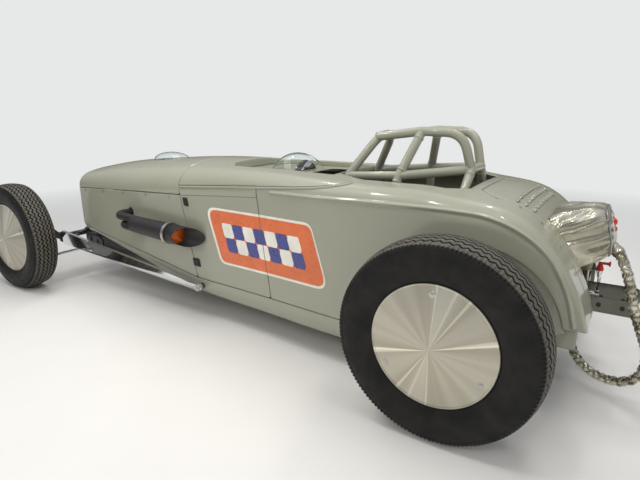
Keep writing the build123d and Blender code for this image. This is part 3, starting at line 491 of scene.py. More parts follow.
def along(table, s):
    """A curve through the table's rows: cubic between rows, its slope at each row worked out
    from the rows on both sides."""
    knots, values = table[:, 0], table[:, 1:]
    slopes = np.gradient(values, knots, axis=0)
    row = np.clip(np.searchsorted(knots, s, side="right") - 1, 0, len(knots) - 2)
    width = (knots[row + 1] - knots[row])[..., None]
    f = (s - knots[row])[..., None] / width
    start = (1 + 2 * f) * (1 - f) ** 2 * values[row] + f * (1 - f) ** 2 * width * slopes[row]
    return start + f**2 * (3 - 2 * f) * values[row + 1] + f**2 * (f - 1) * width * slopes[row + 1]


# Shares of u taken by the crown arc, the shoulder arc, the upright, the floor corner and the floor
U_BREAKS = (0.0, 0.30, 0.45, 0.70, 0.82, 1.0)


def body_point(s, u):
    """A point on the skin at s. u is 0 on the crown's centre line and 1 or -1 under the floor's.
    Crown: an arc from the centre line to where it meets the shoulder arc. Shoulder: an arc to
    the upright. Then the upright, the floor corner arc and the flat floor. Near the nose all of
    it shrinks by R - sqrt(R^2 - d^2), which rounds the front edge."""
    s, u = np.broadcast_arrays(np.asarray(s, float), np.asarray(u, float))
    half, floor, r_floor, side, r_top, crown = np.moveaxis(along(BODY_STATIONS, s), -1, 0)
    depth = np.clip(NOSE_S + NOSE_ROUND - s, 0, NOSE_ROUND)
    inset = NOSE_ROUND - np.sqrt(NOSE_ROUND**2 - depth**2)
    half, floor, crown = half - inset, floor + inset, crown - inset
    r_floor, r_top = r_floor - inset, r_top - inset
    run, rise = half - r_top, crown - side
    r_crown = (run**2 + rise**2 - r_top**2) / (2 * (rise - r_top))
    centre = crown - r_crown
    join = np.arctan2(run, side - centre)
    v = np.abs(u)
    shares = [np.clip((v - a) / (b - a), 0, 1) for a, b in zip(U_BREAKS, U_BREAKS[1:])]
    a = shares[0] * join
    y, z = r_crown * np.sin(a), centre + r_crown * np.cos(a)
    a = join + shares[1] * (np.pi / 2 - join)
    on_shoulder = v > U_BREAKS[1]
    y = np.where(on_shoulder, run + r_top * np.sin(a), y)
    z = np.where(on_shoulder, side + r_top * np.cos(a), z)
    on_side = v > U_BREAKS[2]
    y = np.where(on_side, half, y)
    z = np.where(on_side, side + shares[2] * (floor + r_floor - side), z)
    a = np.pi / 2 * (1 + shares[3])
    on_corner = v > U_BREAKS[3]
    y = np.where(on_corner, half - r_floor + r_floor * np.sin(a), y)
    z = np.where(on_corner, floor + r_floor + r_floor * np.cos(a), z)
    on_floor = v > U_BREAKS[4]
    y = np.where(on_floor, (half - r_floor) * (1 - shares[4]), y)
    return np.stack([REAR_AXLE_X + s, np.where(u < 0, -y, y), z], -1)


def body_normal(s, u):
    """The outward direction there: the cross product of the skin's two slopes."""
    step = 1e-4
    ds = body_point(np.minimum(s + step, TAIL_S), u) - body_point(np.maximum(s - step, NOSE_S), u)
    du = body_point(s, u + step) - body_point(s, u - step)
    return unit(np.cross(ds, du))


def u_at_height(s, z, side_sign):
    """The u where the skin passes height z at s, found by halving the range."""
    s, z = np.broadcast_arrays(np.asarray(s, float), np.asarray(z, float))
    low, high = np.zeros(s.shape), np.full(s.shape, U_BREAKS[4])
    for _ in range(32):
        middle = (low + high) / 2
        above = body_point(s, middle)[..., 2] > z
        low, high = np.where(above, middle, low), np.where(above, high, middle)
    return side_sign * (low + high) / 2


def u_at_width(s, y):
    """The u on the crown or shoulder where the skin is y from the centre plane."""
    s, y = np.broadcast_arrays(np.asarray(s, float), np.asarray(y, float))
    low, high = np.zeros(s.shape), np.full(s.shape, U_BREAKS[2])
    for _ in range(32):
        middle = (low + high) / 2
        inner = body_point(s, middle)[..., 1] < np.abs(y)
        low, high = np.where(inner, middle, low), np.where(inner, high, middle)
    return np.where(y < 0, -1, 1) * (low + high) / 2


def inside_by(points, outline):
    """How far each point lies inside a closed outline, negative outside it."""
    start = np.asarray(outline, float)
    end = np.roll(start, -1, 0)
    run = end - start
    offset = points[:, None, :] - start
    share = np.clip((offset * run).sum(-1) / (run**2).sum(-1), 0, 1)
    distance = np.linalg.norm(offset - share[..., None] * run, axis=-1).min(1)
    above = (start[:, 1] > points[:, None, 1]) != (end[:, 1] > points[:, None, 1])
    rise = np.where(np.abs(run[:, 1]) < 1e-12, 1e-12, run[:, 1])
    left = points[:, None, 0] < start[:, 0] + run[:, 0] * (points[:, None, 1] - start[:, 1]) / rise
    return np.where((above & left).sum(1) % 2 == 1, distance, -distance)


def both_rows(rows):
    """(s, half width) rows mirrored into a closed plan outline."""
    return [(s, half) for s, half in rows] + [(s, -half) for s, half in reversed(rows)]


def side_view(points):
    """The (s, z) of each point."""
    return np.stack([points[:, 0] - REAR_AXLE_X, points[:, 2]], -1)


def plan_view(points):
    """The (s, y) of each point."""
    return np.stack([points[:, 0] - REAR_AXLE_X, points[:, 1]], -1)


def cut(places, faces, value, keep_both=False):
    """Cuts triangles where the value, given at each place, is zero, and keeps the positive side.
    On each crossed edge a new place is put at the share v0 / (v0 - v1) of the way along."""
    value = np.where(np.abs(value) < 1e-8, 1e-8, value)
    inside = value > 0
    count = inside[faces].sum(1)
    mixed = faces[(count == 1) | (count == 2)]
    lone_in = inside[mixed].sum(1) == 1
    lone = np.where(lone_in, inside[mixed].argmax(1), inside[mixed].argmin(1))
    mixed = np.take_along_axis(mixed, (lone[:, None] + np.arange(3)) % 3, 1)
    a, b, c = mixed.T
    edges = np.sort(np.stack([np.r_[a, a], np.r_[b, c]], 1), 1)
    edges, which = np.unique(edges, axis=0, return_inverse=True)
    first, second = value[edges[:, 0]], value[edges[:, 1]]
    share = (first / (first - second))[:, None]
    added = places[edges[:, 0]] * (1 - share) + places[edges[:, 1]] * share
    which = which.ravel() + len(places)
    ab, ac = which[: len(a)], which[len(a) :]
    tip, wide_1, wide_2 = np.stack([a, ab, ac], 1), np.stack([ab, b, c], 1), np.stack([ab, c, ac], 1)
    if keep_both:
        faces = np.vstack([faces[(count == 0) | (count == 3)], tip, wide_1, wide_2])
    else:
        faces = np.vstack([faces[count == 3], tip[lone_in], wide_1[~lone_in], wide_2[~lone_in]])
    places = np.vstack([places, added])
    used, faces = np.unique(faces, return_inverse=True)
    return places[used], faces.reshape(-1, 3)


def skin_grid(s_rows, u_columns):
    """Triangles over all (s, u) pairs of a grid."""
    s, u = np.meshgrid(s_rows, u_columns, indexing="ij")
    quads = grid_faces(len(s_rows), len(u_columns))
    faces = np.vstack([quads[:, [0, 1, 2]], quads[:, [0, 2, 3]]])
    return np.stack([s.ravel(), u.ravel()], -1), faces


def rolled_edge(inside):
    """How far the skin drops near an edge: a quarter round of radius EDGE_R."""
    near = np.clip(EDGE_R - (inside - GAP), 0, EDGE_R)
    return EDGE_R - np.sqrt(EDGE_R**2 - near**2)


# Columns of the grid in each share of u, and where the tail's closer rows begin
U_COUNTS = (26, 16, 34, 9, 14)
TAIL_ROWS_S = 0.29


def skin_piece(name, node, field, s_span, u_reach=1.0, step=0.013):
    """A panel of the body skin: the grid is cut where the field, a distance inside the panel's
    own outline, falls to the gap; its edge is rolled, and Solidify gives it its wall."""
    nose_rows = NOSE_S + NOSE_ROUND * (1 - np.cos(np.linspace(0, np.pi / 2, 12)))
    plain_rows = np.arange(NOSE_S + NOSE_ROUND, TAIL_ROWS_S, step)
    tail_rows = TAIL_ROWS_S + (TAIL_S - TAIL_ROWS_S) * np.sin(np.linspace(0, np.pi / 2, 34))
    s_rows = np.r_[nose_rows[:-1], plain_rows, tail_rows]
    s_rows = s_rows[(s_rows >= s_span[0] - step) & (s_rows <= s_span[1] + step)]
    spans = zip(U_BREAKS, U_BREAKS[1:], U_COUNTS)
    half = np.concatenate([np.linspace(a, b, n, endpoint=False) for a, b, n in spans])
    u_columns = np.r_[-1.0, -half[:0:-1], half, 1.0]
    u_columns = u_columns[np.abs(u_columns) <= u_reach]
    places, faces = skin_grid(s_rows, u_columns)
    for level, keep_both in ((0, False), (0.3 * EDGE_R, True), (EDGE_R, True)):
        places, faces = cut(places, faces, field(body_point(*places.T)) - GAP - level, keep_both)
    points = body_point(*places.T)
    points = points - rolled_edge(field(points))[:, None] * body_normal(*places.T)
    made = piece(name, points, faces, ENAMEL, slot="body_paint", smooth=50)
    add_wall(made, SKIN)
    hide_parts(node)


def side_panel(outline):
    """The field of a panel bounded by an outline in side view."""
    return lambda points: inside_by(side_view(points), outline)


belt_1, crease_1 = SEAM_1
belt_2, crease_2 = SEAM_2
crease_3 = (PAN_REAR_S, CREASE_Z)
PIPE_EXITS = ((-2.377, 0.615), (-2.335, 0.553))
PIPE_HOLE_R = 0.030
ARCH_CENTRE = (0.020, 0.365)
ARCH_R = 0.385
QUARTER_END = (0.370, 0.437)
ARCH_Y = 0.400
REAR_OPEN_HALF = 0.402
REAR_OPEN_Z = 0.440
ROD_PIVOT = (-1.660, 0.215)
ROD_HOLE_R = 0.017


def hood_side_field(points):
    """Inside the hood side's outline and outside its exhaust holes."""
    outline = [PAN_NOSE, crease_1, SPLIT_REAR, SPLIT_NOSE]
    field = inside_by(side_view(points), outline)
    for exit_point in PIPE_EXITS:
        hole = np.linalg.norm(side_view(points) - exit_point, axis=1) - PIPE_HOLE_R
        field = np.minimum(field, hole)
    return field


def plan_hole(points, rows, z_above):
    """Positive outside a plan outline; below z_above the outline doesn't cut."""
    field = -inside_by(plan_view(points), both_rows(rows))
    return np.where(points[:, 2] > z_above, field, 1.0)


def chute_mouth_hole(points):
    """Positive outside the opening that the pack fills."""
    low, high = CHUTE_MOUTH_Z
    across = np.abs(points[:, 1]) - CHUTE_MOUTH_HALF
    upright = np.maximum(low - points[:, 2], points[:, 2] - high)
    field = np.maximum(across, upright)
    return np.where(points[:, 0] > REAR_AXLE_X + 0.2, field, 1.0)


def tub_field(points):
    """Inside the tub's outline and outside its arches, quarter ends, deck openings and floor."""
    outline = [belt_1, belt_2, crease_2, crease_3, (PAN_REAR_S, BELOW)]
    outline += [(PAST_TAIL_S, BELOW), (PAST_TAIL_S, ABOVE), (belt_1[0], ABOVE)]
    field = inside_by(side_view(points), outline)
    places = side_view(points)
    arch = np.linalg.norm(places - ARCH_CENTRE, axis=1) - ARCH_R
    field = np.minimum(field, np.where(np.abs(points[:, 1]) > ARCH_Y, arch, 1.0))
    field = np.minimum(field, np.maximum(QUARTER_END[0] - places[:, 0], places[:, 1] - QUARTER_END[1]))
    for rows, z_above in ((RECESS, 0.88), (COCKPIT, 0.80), (DECK_LID, LID_LOW_Z)):
        field = np.minimum(field, plan_hole(points, rows, z_above))
    field = np.minimum(field, chute_mouth_hole(points))
    floor = np.maximum(np.abs(points[:, 1]) - REAR_OPEN_HALF, points[:, 2] - REAR_OPEN_Z)
    floor = np.where(points[:, 0] > REAR_AXLE_X + PAN_REAR_S - 0.01, floor, 1.0)
    return np.minimum(field, floor)


def deck_lid_field(points):
    """Inside the lid's plan outline, on top, and outside the pack's opening."""
    field = inside_by(plan_view(points), both_rows(DECK_LID))
    field = np.where(points[:, 2] > LID_LOW_Z, field, -1.0)
    return np.minimum(field, chute_mouth_hole(points))


def pan_field(points):
    """Inside the belly pan's outline and outside the hole at the rods' pivot."""
    outline = [PAN_NOSE, (NOSE_SEAM_S, BELOW), (PAN_REAR_S, BELOW), crease_3, crease_1]
    field = inside_by(side_view(points), outline)
    hole = np.linalg.norm(side_view(points) - ROD_PIVOT, axis=1) - ROD_HOLE_R
    return np.minimum(field, hole)


def nose_shell():
    """The skin ahead of the nose seam, and the flat front: straight lines from the rounded edge
    to the stadium-shaped mouth, whose lip turns in over its last 12 mm."""
    ahead_of_seam = [(NOSE_SEAM_S, BELOW), (NOSE_SEAM_S, ABOVE), (NOSE_S - 1, ABOVE), (NOSE_S - 1, BELOW)]
    skin_piece("nose_shell_skin", "nose_shell", side_panel(ahead_of_seam), (NOSE_S, NOSE_SEAM_S))
    u = np.linspace(-1, 1, 181)[:-1]
    rim = body_point(np.full(len(u), NOSE_S), u)
    angle = np.arctan2(rim[:, 1], rim[:, 2] - GRILLE_Z)
    radius = GRILLE_W / 2
    straight = (GRILLE_H - GRILLE_W) / 2
    mouth_z = GRILLE_Z + radius * np.cos(angle) + np.sign(np.cos(angle)) * straight
    mouth = np.stack([radius * np.sin(angle), mouth_z], -1)
    share = np.linspace(0, 1, 12)[:, None, None]
    across = rim[:, 1:] * (1 - share) + mouth * share
    turn = np.clip(1 - np.linalg.norm(across - mouth, axis=-1) / NOSE_LIP, 0, 1)
    depth = NOSE_LIP * (1 - np.sqrt(1 - turn**2))
    points = np.concatenate([(rim[:, 0] + depth)[..., None], across], -1)
    inner = np.column_stack([rim[:, 0] + NOSE_LIP + 0.006, mouth])
    points = np.vstack([points, inner[None]])
    front = piece("nose_front", points, grid_faces(len(points), len(u), False, True), ENAMEL,
                  slot="body_paint")
    add_wall(front, 0.002)
    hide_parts("nose_shell")


def body_panels():
    """Each real panel of the body as a piece of its own."""
    nose_shell()
    top = [SPLIT_NOSE, SPLIT_REAR, belt_1, (belt_1[0], ABOVE), (NOSE_SEAM_S, ABOVE)]
    skin_piece("hood_top_skin", "hood_top", side_panel(top), (NOSE_SEAM_S, belt_1[0] + 0.03), 0.5)
    skin_piece("hood_side_skins", "hood_sides", hood_side_field, (NOSE_SEAM_S, crease_1[0]))
    cowl = [crease_1, crease_2, belt_2, belt_1]
    skin_piece("cowl_side_skins", "cowl_sides", side_panel(cowl), (belt_1[0], crease_2[0]))
    skin_piece("belly_pan_skin", "belly_pan", pan_field, (NOSE_SEAM_S, PAN_REAR_S))
    skin_piece("body_tub_skin", "body_tub", tub_field, (belt_1[0], TAIL_S))
    skin_piece("deck_lid_skin", "deck_lid", deck_lid_field, (-0.02, TAIL_S), 0.45, 0.008)


def running_length(points):
    """The length along a polyline up to each of its points."""
    return np.r_[0, np.cumsum(np.linalg.norm(np.diff(points, axis=0), axis=1))]


def spaced(points, count, endpoint=True):
    """The given number of points at an even spacing along a polyline."""
    length = running_length(points)
    at = np.linspace(0, length[-1], count, endpoint=endpoint)
    return np.stack([np.interp(at, length, column) for column in points.T], -1)


def outline_path(outline, spacing, closed=True):
    """Points at about the given spacing along a polyline."""
    corners = np.asarray(outline, float)
    if closed:
        corners = np.vstack([corners, corners[:1]])
    return spaced(corners, int(running_length(corners)[-1] / spacing), not closed)


def sunken_deck():
    """The tray ahead of the driver: a flat floor with its slot, and upright walls from the floor
    to the skin along the recess outline."""
    outline = both_rows(RECESS)
    path = outline_path(outline, 0.008)
    top = body_point(path[:, 0], u_at_width(path[:, 0], path[:, 1]))
    share = np.linspace(0, 1, 6)[:, None]
    z = (top[:, 2] - SKIN) * (1 - share) + RECESS_FLOOR_Z * share
    x, y = REAR_AXLE_X + path[:, 0], path[:, 1] * RECESS_SQUEEZE
    points = np.stack([np.broadcast_to(x, z.shape), np.broadcast_to(y, z.shape), z], -1)
    walls = piece("recess_walls", points, grid_faces(6, len(path), False, True), ENAMEL, slot="body_paint")
    places, faces = skin_grid(np.arange(-1.56, -0.70, 0.012), np.linspace(-0.28, 0.28, 48))
    within = [(s, half * RECESS_SQUEEZE) for s, half in RECESS]
    places, faces = cut(places, faces, inside_by(places, both_rows(within)))
    places, faces = cut(places, faces, -inside_by(places, both_rows(SLOT)))
    points = np.column_stack([REAR_AXLE_X + places[:, 0], places[:, 1], np.full(len(places), RECESS_FLOOR_Z)])
    floor = piece("recess_floor", points, faces, ENAMEL, slot="body_paint")
    for made in (walls, floor):
        add_wall(made, 0.002, 0)
        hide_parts("sunken_deck")


def circle(radius, count):
    """A round profile."""
    a = np.linspace(0, 2 * np.pi, count, endpoint=False)
    return radius * np.column_stack([np.cos(a), np.sin(a)])


def half_round(width, height, count=9):
    """A half-round bead profile: across is half the width times cos, out is the height times sin."""
    a = np.linspace(0, np.pi, count)
    return np.column_stack([width / 2 * np.cos(a), height * np.sin(a) - 0.0006])


def bead(name, route, profile, side_sign, material=ENAMEL):
    """A raised moulding along (s, z) points on one flank, its profile standing on the skin."""
    path = outline_path(curve_through(route), 0.008, False)
    u = u_at_height(path[:, 0], path[:, 1], side_sign)
    points = body_point(path[:, 0], u)
    normal = body_normal(path[:, 0], u)
    piece(name, *swept(points, profile, normal), material, slot="body_paint", smooth=60)


def curve_through(points):
    """A smooth curve through a few points: cubic between them by the points' running length."""
    points = np.asarray(points, float)
    length = running_length(points)
    return along(np.column_stack([length, points]), np.linspace(0, length[-1], 60))


# Mouldings, as (s, z) points on a flank
BELT = [(-1.825, 0.838), (-1.50, 0.861), (-1.16, 0.885), (-0.90, 0.903), (-0.76, 0.916), (-0.64, 0.934),
        (-0.57, 0.948)]
BELT_LINE = [(-1.160, 0.893), (-0.90, 0.911), (-0.76, 0.924), (-0.65, 0.940), (-0.59, 0.951)]
COWL_LINE = [(-1.800, 0.787), (-1.50, 0.809), (-1.155, 0.832)]
QUARTER = [(-1.05, 0.868), (-0.75, 0.872), (-0.40, 0.880), (-0.15, 0.880), (-0.025, 0.874), (0.067, 0.865),
           (0.143, 0.845), (0.220, 0.809), (0.280, 0.765), (0.325, 0.719), (0.357, 0.674), (0.386, 0.620),
           (0.409, 0.560), (0.436, 0.452)]


def swage(width, height, count=13):
    """A soft ridge: across from edge to edge, out by the height times cos squared."""
    across = np.linspace(width / 2, -width / 2, count)
    ridge = np.column_stack([across, height * np.cos(np.pi * across / width) ** 2 - 0.0008])
    return np.vstack([ridge, [(-width / 2, -0.003), (width / 2, -0.003)]])


def mouldings():
    """The belt bead under a dark line, the fine cowl line and the sweep round the wheel."""
    for side, sign in SIDES:
        bead("belt_bead_" + side, BELT, half_round(0.014, 0.007), sign)
        bead("belt_line_" + side, BELT_LINE, half_round(0.0045, 0.0014), sign, STRIPE_DARK)
        bead("cowl_line_" + side, COWL_LINE, half_round(0.003, 0.0012), sign, STRIPE_DARK)
        bead("quarter_bead_" + side, QUARTER, swage(0.030, 0.0120), sign)


# Flank panel: a slanted plate of colour with chequers, on both sides: lowest and highest s and z
PLATE_S = (-1.47, -0.66)
PLATE_Z = (0.40, 0.74)
PLATE_LEAN = 1 / 3
PLATE_LINE = 0.014
CHEQUER = 0.085
CHEQUER_START = (0.105, 0.085)
CHEQUER_ROWS, CHEQUER_COLUMNS = 2, 7


def slanted(s_span, z_span, base):
    """A rectangle in side view, leaned forward by a share of its height above the base."""
    (s_low, s_high), (z_low, z_high) = s_span, z_span
    corners = [(s_low, z_low), (s_high, z_low), (s_high, z_high), (s_low, z_high)]
    return [(s - PLATE_LEAN * (z - base), z) for s, z in corners]


def rounded(outline, radius, count=6):
    """Rounds each corner of a closed outline by a circle arc."""
    corners = np.asarray(outline, float)
    before, after = np.roll(corners, 1, 0), np.roll(corners, -1, 0)
    made = []
    for corner, low, high in zip(corners, before, after):
        a, b = unit(low - corner), unit(high - corner)
        half = math.acos(np.clip(a @ b, -1, 1)) / 2
        reach = radius / math.tan(half)
        start, end = corner + a * reach, corner + b * reach
        for share in np.linspace(0, 1, count):
            first = start * (1 - share) + corner * share
            second = corner * (1 - share) + end * share
            made.append(first * (1 - share) + second * share)
    return made


def decal(name, outline, lift, material, side_sign, grid=0.012):
    """A thin layer of colour on the flank inside an outline in side view."""
    outline = np.asarray(outline, float)
    low, high = outline.min(0) - grid, outline.max(0) + grid
    places, faces = skin_grid(np.arange(low[0], high[0], grid), np.arange(low[1], high[1], grid))
    places, faces = cut(places, faces, inside_by(places, outline))
    start, end = np.array(SEAM_2)
    across = unit(np.array([end[1] - start[1], start[0] - end[0]]))
    gap = (places - start) @ across
    front = cut(places, faces, gap - GAP - 0.001)
    rear = cut(places, faces, -gap - GAP - 0.001)
    parts = []
    for part_places, part_faces in (front, rear):
        if len(part_faces):
            u = u_at_height(part_places[:, 0], part_places[:, 1], side_sign)
            point = body_point(part_places[:, 0], u) + lift * body_normal(part_places[:, 0], u)
            parts.append((point, part_faces))
    points, faces = joined_parts(parts)
    piece(name, points, faces, material, slot="body_paint", smooth=60)


def flank_plates():
    """An orange plate with a cream line round it and two rows of blue and cream chequers."""
    inner_s = (PLATE_S[0] + PLATE_LINE, PLATE_S[1] - PLATE_LINE)
    inner_z = (PLATE_Z[0] + PLATE_LINE, PLATE_Z[1] - PLATE_LINE)
    for side, sign in SIDES:
        outer = rounded(slanted(PLATE_S, PLATE_Z, PLATE_Z[0]), 0.06)
        decal("plate_line_" + side, outer, 0.0010, PANEL_CREAM, sign)
        inner = rounded(slanted(inner_s, inner_z, inner_z[0]), 0.05)
        decal("plate_field_" + side, inner, 0.0018, PANEL_ORANGE, sign)
        for row, column in np.ndindex(CHEQUER_ROWS, CHEQUER_COLUMNS):
            s = PLATE_S[0] + CHEQUER_START[0] + column * CHEQUER
            z = PLATE_Z[0] + CHEQUER_START[1] + row * CHEQUER
            square = slanted((s, s + CHEQUER), (z, z + CHEQUER), PLATE_Z[0])
            colour = PANEL_BLUE if (row + column) % 2 == 0 else PANEL_CREAM
            decal(f"chequer_{row}_{column}_{side}", square, 0.0026, colour, sign, 0.02)


# Wheels


def arc_through(first, middle, last, count):
    """Points on the circle through three points."""
    (ax, ay), (bx, by), (cx, cy) = first, middle, last
    d = 2 * (ax * (by - cy) + bx * (cy - ay) + cx * (ay - by))
    a2, b2, c2 = ax**2 + ay**2, bx**2 + by**2, cx**2 + cy**2
    ux = (a2 * (by - cy) + b2 * (cy - ay) + c2 * (ay - by)) / d
    uy = (a2 * (cx - bx) + b2 * (ax - cx) + c2 * (bx - ax)) / d
    angles = np.unwrap([math.atan2(y - uy, x - ux) for x, y in (first, middle, last)])
    turn = np.interp(np.linspace(0, 1, count), (0, 0.5, 1), angles)
    radius = math.hypot(ax - ux, ay - uy)
    return np.column_stack([ux + radius * np.cos(turn), uy + radius * np.sin(turn)])


def turned(profile, angles, end, y_centre, side_sign):
    """A profile of (radius, outward) pairs turned about the axle: x = r cos a, z = r sin a."""
    r, out = profile[..., 0], profile[..., 1]
    x, z = WHEEL_CENTRE[end]
    across, up = x + r * np.cos(angles[:, None]), z + r * np.sin(angles[:, None])
    return np.stack([across, np.broadcast_to(y_centre + side_sign * out, across.shape), up], -1)


# Wheel rows: end, tyre radius, tyre width, rim width, disc plane from the centre plane
WHEELS = (("front", 0.3965, 0.1835, 0.127, 0.809), ("rear", 0.415, 0.209, 0.1524, 0.830))
DISC_TO_RIM = 0.010
RIM_BEAD_R = 0.2286
BEAD_RISE = 0.017
# Where the wall and the tread end: depth below the tyre's radius, and inset from its half width
WALL_TOP = (0.034, 0.0055)
TREAD_EDGE = (0.012, 0.019)
# Raised rings on the wall: share of the wall, height
WALL_RINGS = ((0.115, 0.0012), (0.77, 0.0016), (0.88, 0.0014))
RING_HALF = 0.02
TREAD_PITCHES = 74
# One pitch of the tread round the tyre: share of the pitch, and whether a shoulder cut is there
PITCH_STEPS = np.array([(0.0, 0), (0.10, 1), (0.20, 1), (0.32, 0), (0.5, 0), (0.60, 1), (0.70, 1), (0.82, 0)])
# Grooves: shares of the tread's half width, then one groove's section as shares of its width and depth
GROOVES = np.array([-0.74, -0.37, 0.0, 0.37, 0.74])
GROOVE_SECTION = np.array([(-0.5, 0), (-0.275, 1), (0.275, 1), (0.5, 0)])
GROOVE_W = 0.0100
GROOVE_DEPTH = 0.011
ZIGZAG = 0.0070
# A cut across the shoulder, and the share of it that each of the side's last points drops by
SHOULDER_CUT = 0.006
CUT_SHARES = (0.0, 0.3, 0.6, 1, 1, 1, 1, 1, 1)


def tyre_side(tyre_r, tyre_w, rim_w):
    """One side's (radius, outward) pairs: the bead, a bulged wall on one arc with fine raised
    rings, and a rounded shoulder on another arc, up to the tread's edge."""
    half = rim_w / 2
    out_r = RIM_BEAD_R + BEAD_RISE
    wall_r, wall_y = tyre_r - WALL_TOP[0], tyre_w / 2 - WALL_TOP[1]
    tread_r, tread_y = tyre_r - TREAD_EDGE[0], tyre_w / 2 - TREAD_EDGE[1]
    wall = arc_through((out_r, half + 0.001), ((out_r + wall_r) / 2, tyre_w / 2), (wall_r, wall_y), 20)
    share = np.linspace(0, 1, len(wall))
    for place, height in WALL_RINGS:
        wall[:, 1] += height * np.exp(-(((share - place) / RING_HALF) ** 2))
    shoulder = arc_through((wall_r, wall_y), (tread_r - 0.006, tread_y + 0.010), (tread_r, tread_y), 8)
    return np.vstack([[(RIM_BEAD_R, half - 0.0005), (out_r, half - 0.0005)], wall, shoulder[1:]])


def tyre(end, side, side_sign, tyre_r, tyre_w, rim_w, disc_y):
    """Two sides and a ribbed tread between them, which is crowned by a parabola. The grooves
    swing from side to side by a triangle wave of the angle, and cuts cross the shoulders."""
    y_centre = side_sign * (disc_y - DISC_TO_RIM - rim_w / 2)
    edge_r, edge_y = tyre_r - TREAD_EDGE[0], tyre_w / 2 - TREAD_EDGE[1]

    def crowned(y):
        return edge_r + (tyre_r - edge_r) * (1 - (np.clip(y, -edge_y, edge_y) / edge_y) ** 2)

    pitch = (np.arange(TREAD_PITCHES)[:, None] + PITCH_STEPS[:, 0]).ravel()
    is_cut = np.tile(PITCH_STEPS[:, 1], TREAD_PITCHES)[:, None]
    wave = 2 * np.abs(2 * (pitch % 1) - 1) - 1
    y_straight = GROOVES[:, None] * edge_y + GROOVE_SECTION[:, 0] * GROOVE_W
    y_tread = y_straight.ravel() + ZIGZAG * wave[:, None]
    r_tread = crowned(y_tread) - GROOVE_DEPTH * np.tile(GROOVE_SECTION[:, 1], len(GROOVES))
    one_side = tyre_side(tyre_r, tyre_w, rim_w)
    lowered = np.r_[np.zeros(len(one_side) - len(CUT_SHARES)), CUT_SHARES]
    r_side = one_side[:, 0] - SHOULDER_CUT * lowered * is_cut
    y_side = np.broadcast_to(one_side[:, 1], r_side.shape)
    r = np.hstack([r_side, r_tread, r_side[:, ::-1]])
    y = np.hstack([-y_side, y_tread, y_side[:, ::-1]])
    points = turned(np.stack([r, y], -1), pitch * 2 * np.pi / TREAD_PITCHES, end, y_centre, side_sign)
    faces = grid_faces(*r.shape, True, True)
    made = piece(f"{end}_tyre_tread_{side}", points, faces, TYRE, f"{end}_wheel_{side}", "tyre", 38)
    made.data.materials.append(TREAD)
    middle = np.empty(len(made.data.polygons) * 3)
    made.data.polygons.foreach_get("center", middle)
    middle = middle.reshape(-1, 3)
    x, z = WHEEL_CENTRE[end]
    across = np.abs(middle[:, 1] - y_centre)
    reach = np.hypot(middle[:, 0] - x, middle[:, 2] - z)
    on_tread = (across < edge_y + 0.006) & (reach > crowned(across) - 0.0035)
    made.data.polygons.foreach_set("material_index", on_tread.astype(np.int32))
    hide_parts(f"{end}_tyre_{side}")


DISC_R = 0.2515
DISC_CONE = 0.033
CONE_R = DISC_R - 0.007
# The lip, outwards from the cone: distance inside the disc's edge, and height
DISC_LIP = np.array([(0.009, 0.0003), (0.0075, 0.0014), (0.005, 0.0026), (0.002, 0.0024), (0, 0.0006),
                     (0, -0.004), (0.003, -0.0055), (0.009, -0.0055)])
DISC_SPOKES = 180
FASTENER_R = 0.212
FASTENER_TURN = {"front": 0.35, "rear": 1.60}
BUTTON = np.array([(0.0, 0.0038), (0.0065, 0.0038), (0.0080, 0.0030), (0.0082, 0.0018), (0.0125, 0.0016),
                   (0.0150, 0.0), (0.0152, -0.002)])


def disc(end, side, side_sign, disc_y, metal):
    """The spun cover: a cone to the middle, a shallow roll and a raised lip at the rim. Its UV
    map runs round the axle, which turns the brushed sheen with it."""
    cone = np.linspace(0.004, DISC_R - 0.012, 40)
    profile = np.vstack([
        [(0.0, DISC_CONE - 0.0004), (0.002, DISC_CONE - 0.0005)],
        np.column_stack([cone, DISC_CONE * (1 - cone / CONE_R)]),
        np.column_stack([DISC_R - DISC_LIP[:, 0], DISC_LIP[:, 1]]),
    ])
    angles = np.linspace(0, 2 * np.pi, DISC_SPOKES, endpoint=False)
    points = turned(profile, angles, end, side_sign * disc_y, side_sign)
    faces = grid_faces(DISC_SPOKES, len(profile), True, False)
    row, column = faces[:, 0] // len(profile), faces[:, 0] % len(profile)
    u = np.stack([row, row + 1, row + 1, row], 1) / DISC_SPOKES
    v = np.stack([column, column, column + 1, column + 1], 1) / len(profile)
    turn = -side_sign
    uv = np.stack([u[:, ::turn], v[:, ::turn]], -1)
    body = f"{end}_wheel_{side}"
    made = piece(f"{end}_disc_cover_{side}", points, faces[:, ::turn], metal, body, "spun_aluminium", 30, uv)
    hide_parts(f"{end}_disc_{side}")


def disc_buttons(end, side, side_sign, disc_y):
    """Three quarter-turn buttons on low round bosses, a third of a turn apart."""
    x, z = WHEEL_CENTRE[end]
    angle = np.linspace(0, 2 * np.pi, 28, endpoint=False)[:, None]
    r, out = BUTTON.T
    y = side_sign * (disc_y + DISC_CONE * (1 - FASTENER_R / CONE_R) + out)
    buttons = []
    for index in range(3):
        turn = FASTENER_TURN[end] + index * 2 * np.pi / 3
        across = x - side_sign * FASTENER_R * math.cos(turn) + r * np.cos(angle)
        up = z + FASTENER_R * math.sin(turn) + r * np.sin(angle)
        points = np.stack([across, np.broadcast_to(y, across.shape), up], -1)
        buttons.append((points, grid_faces(len(angle), len(r), True, False)))
    name = f"{end}_disc_buttons_{side}"
    piece(name, *joined_parts(buttons), STEEL, f"{end}_wheel_{side}", "bare_steel", 30)


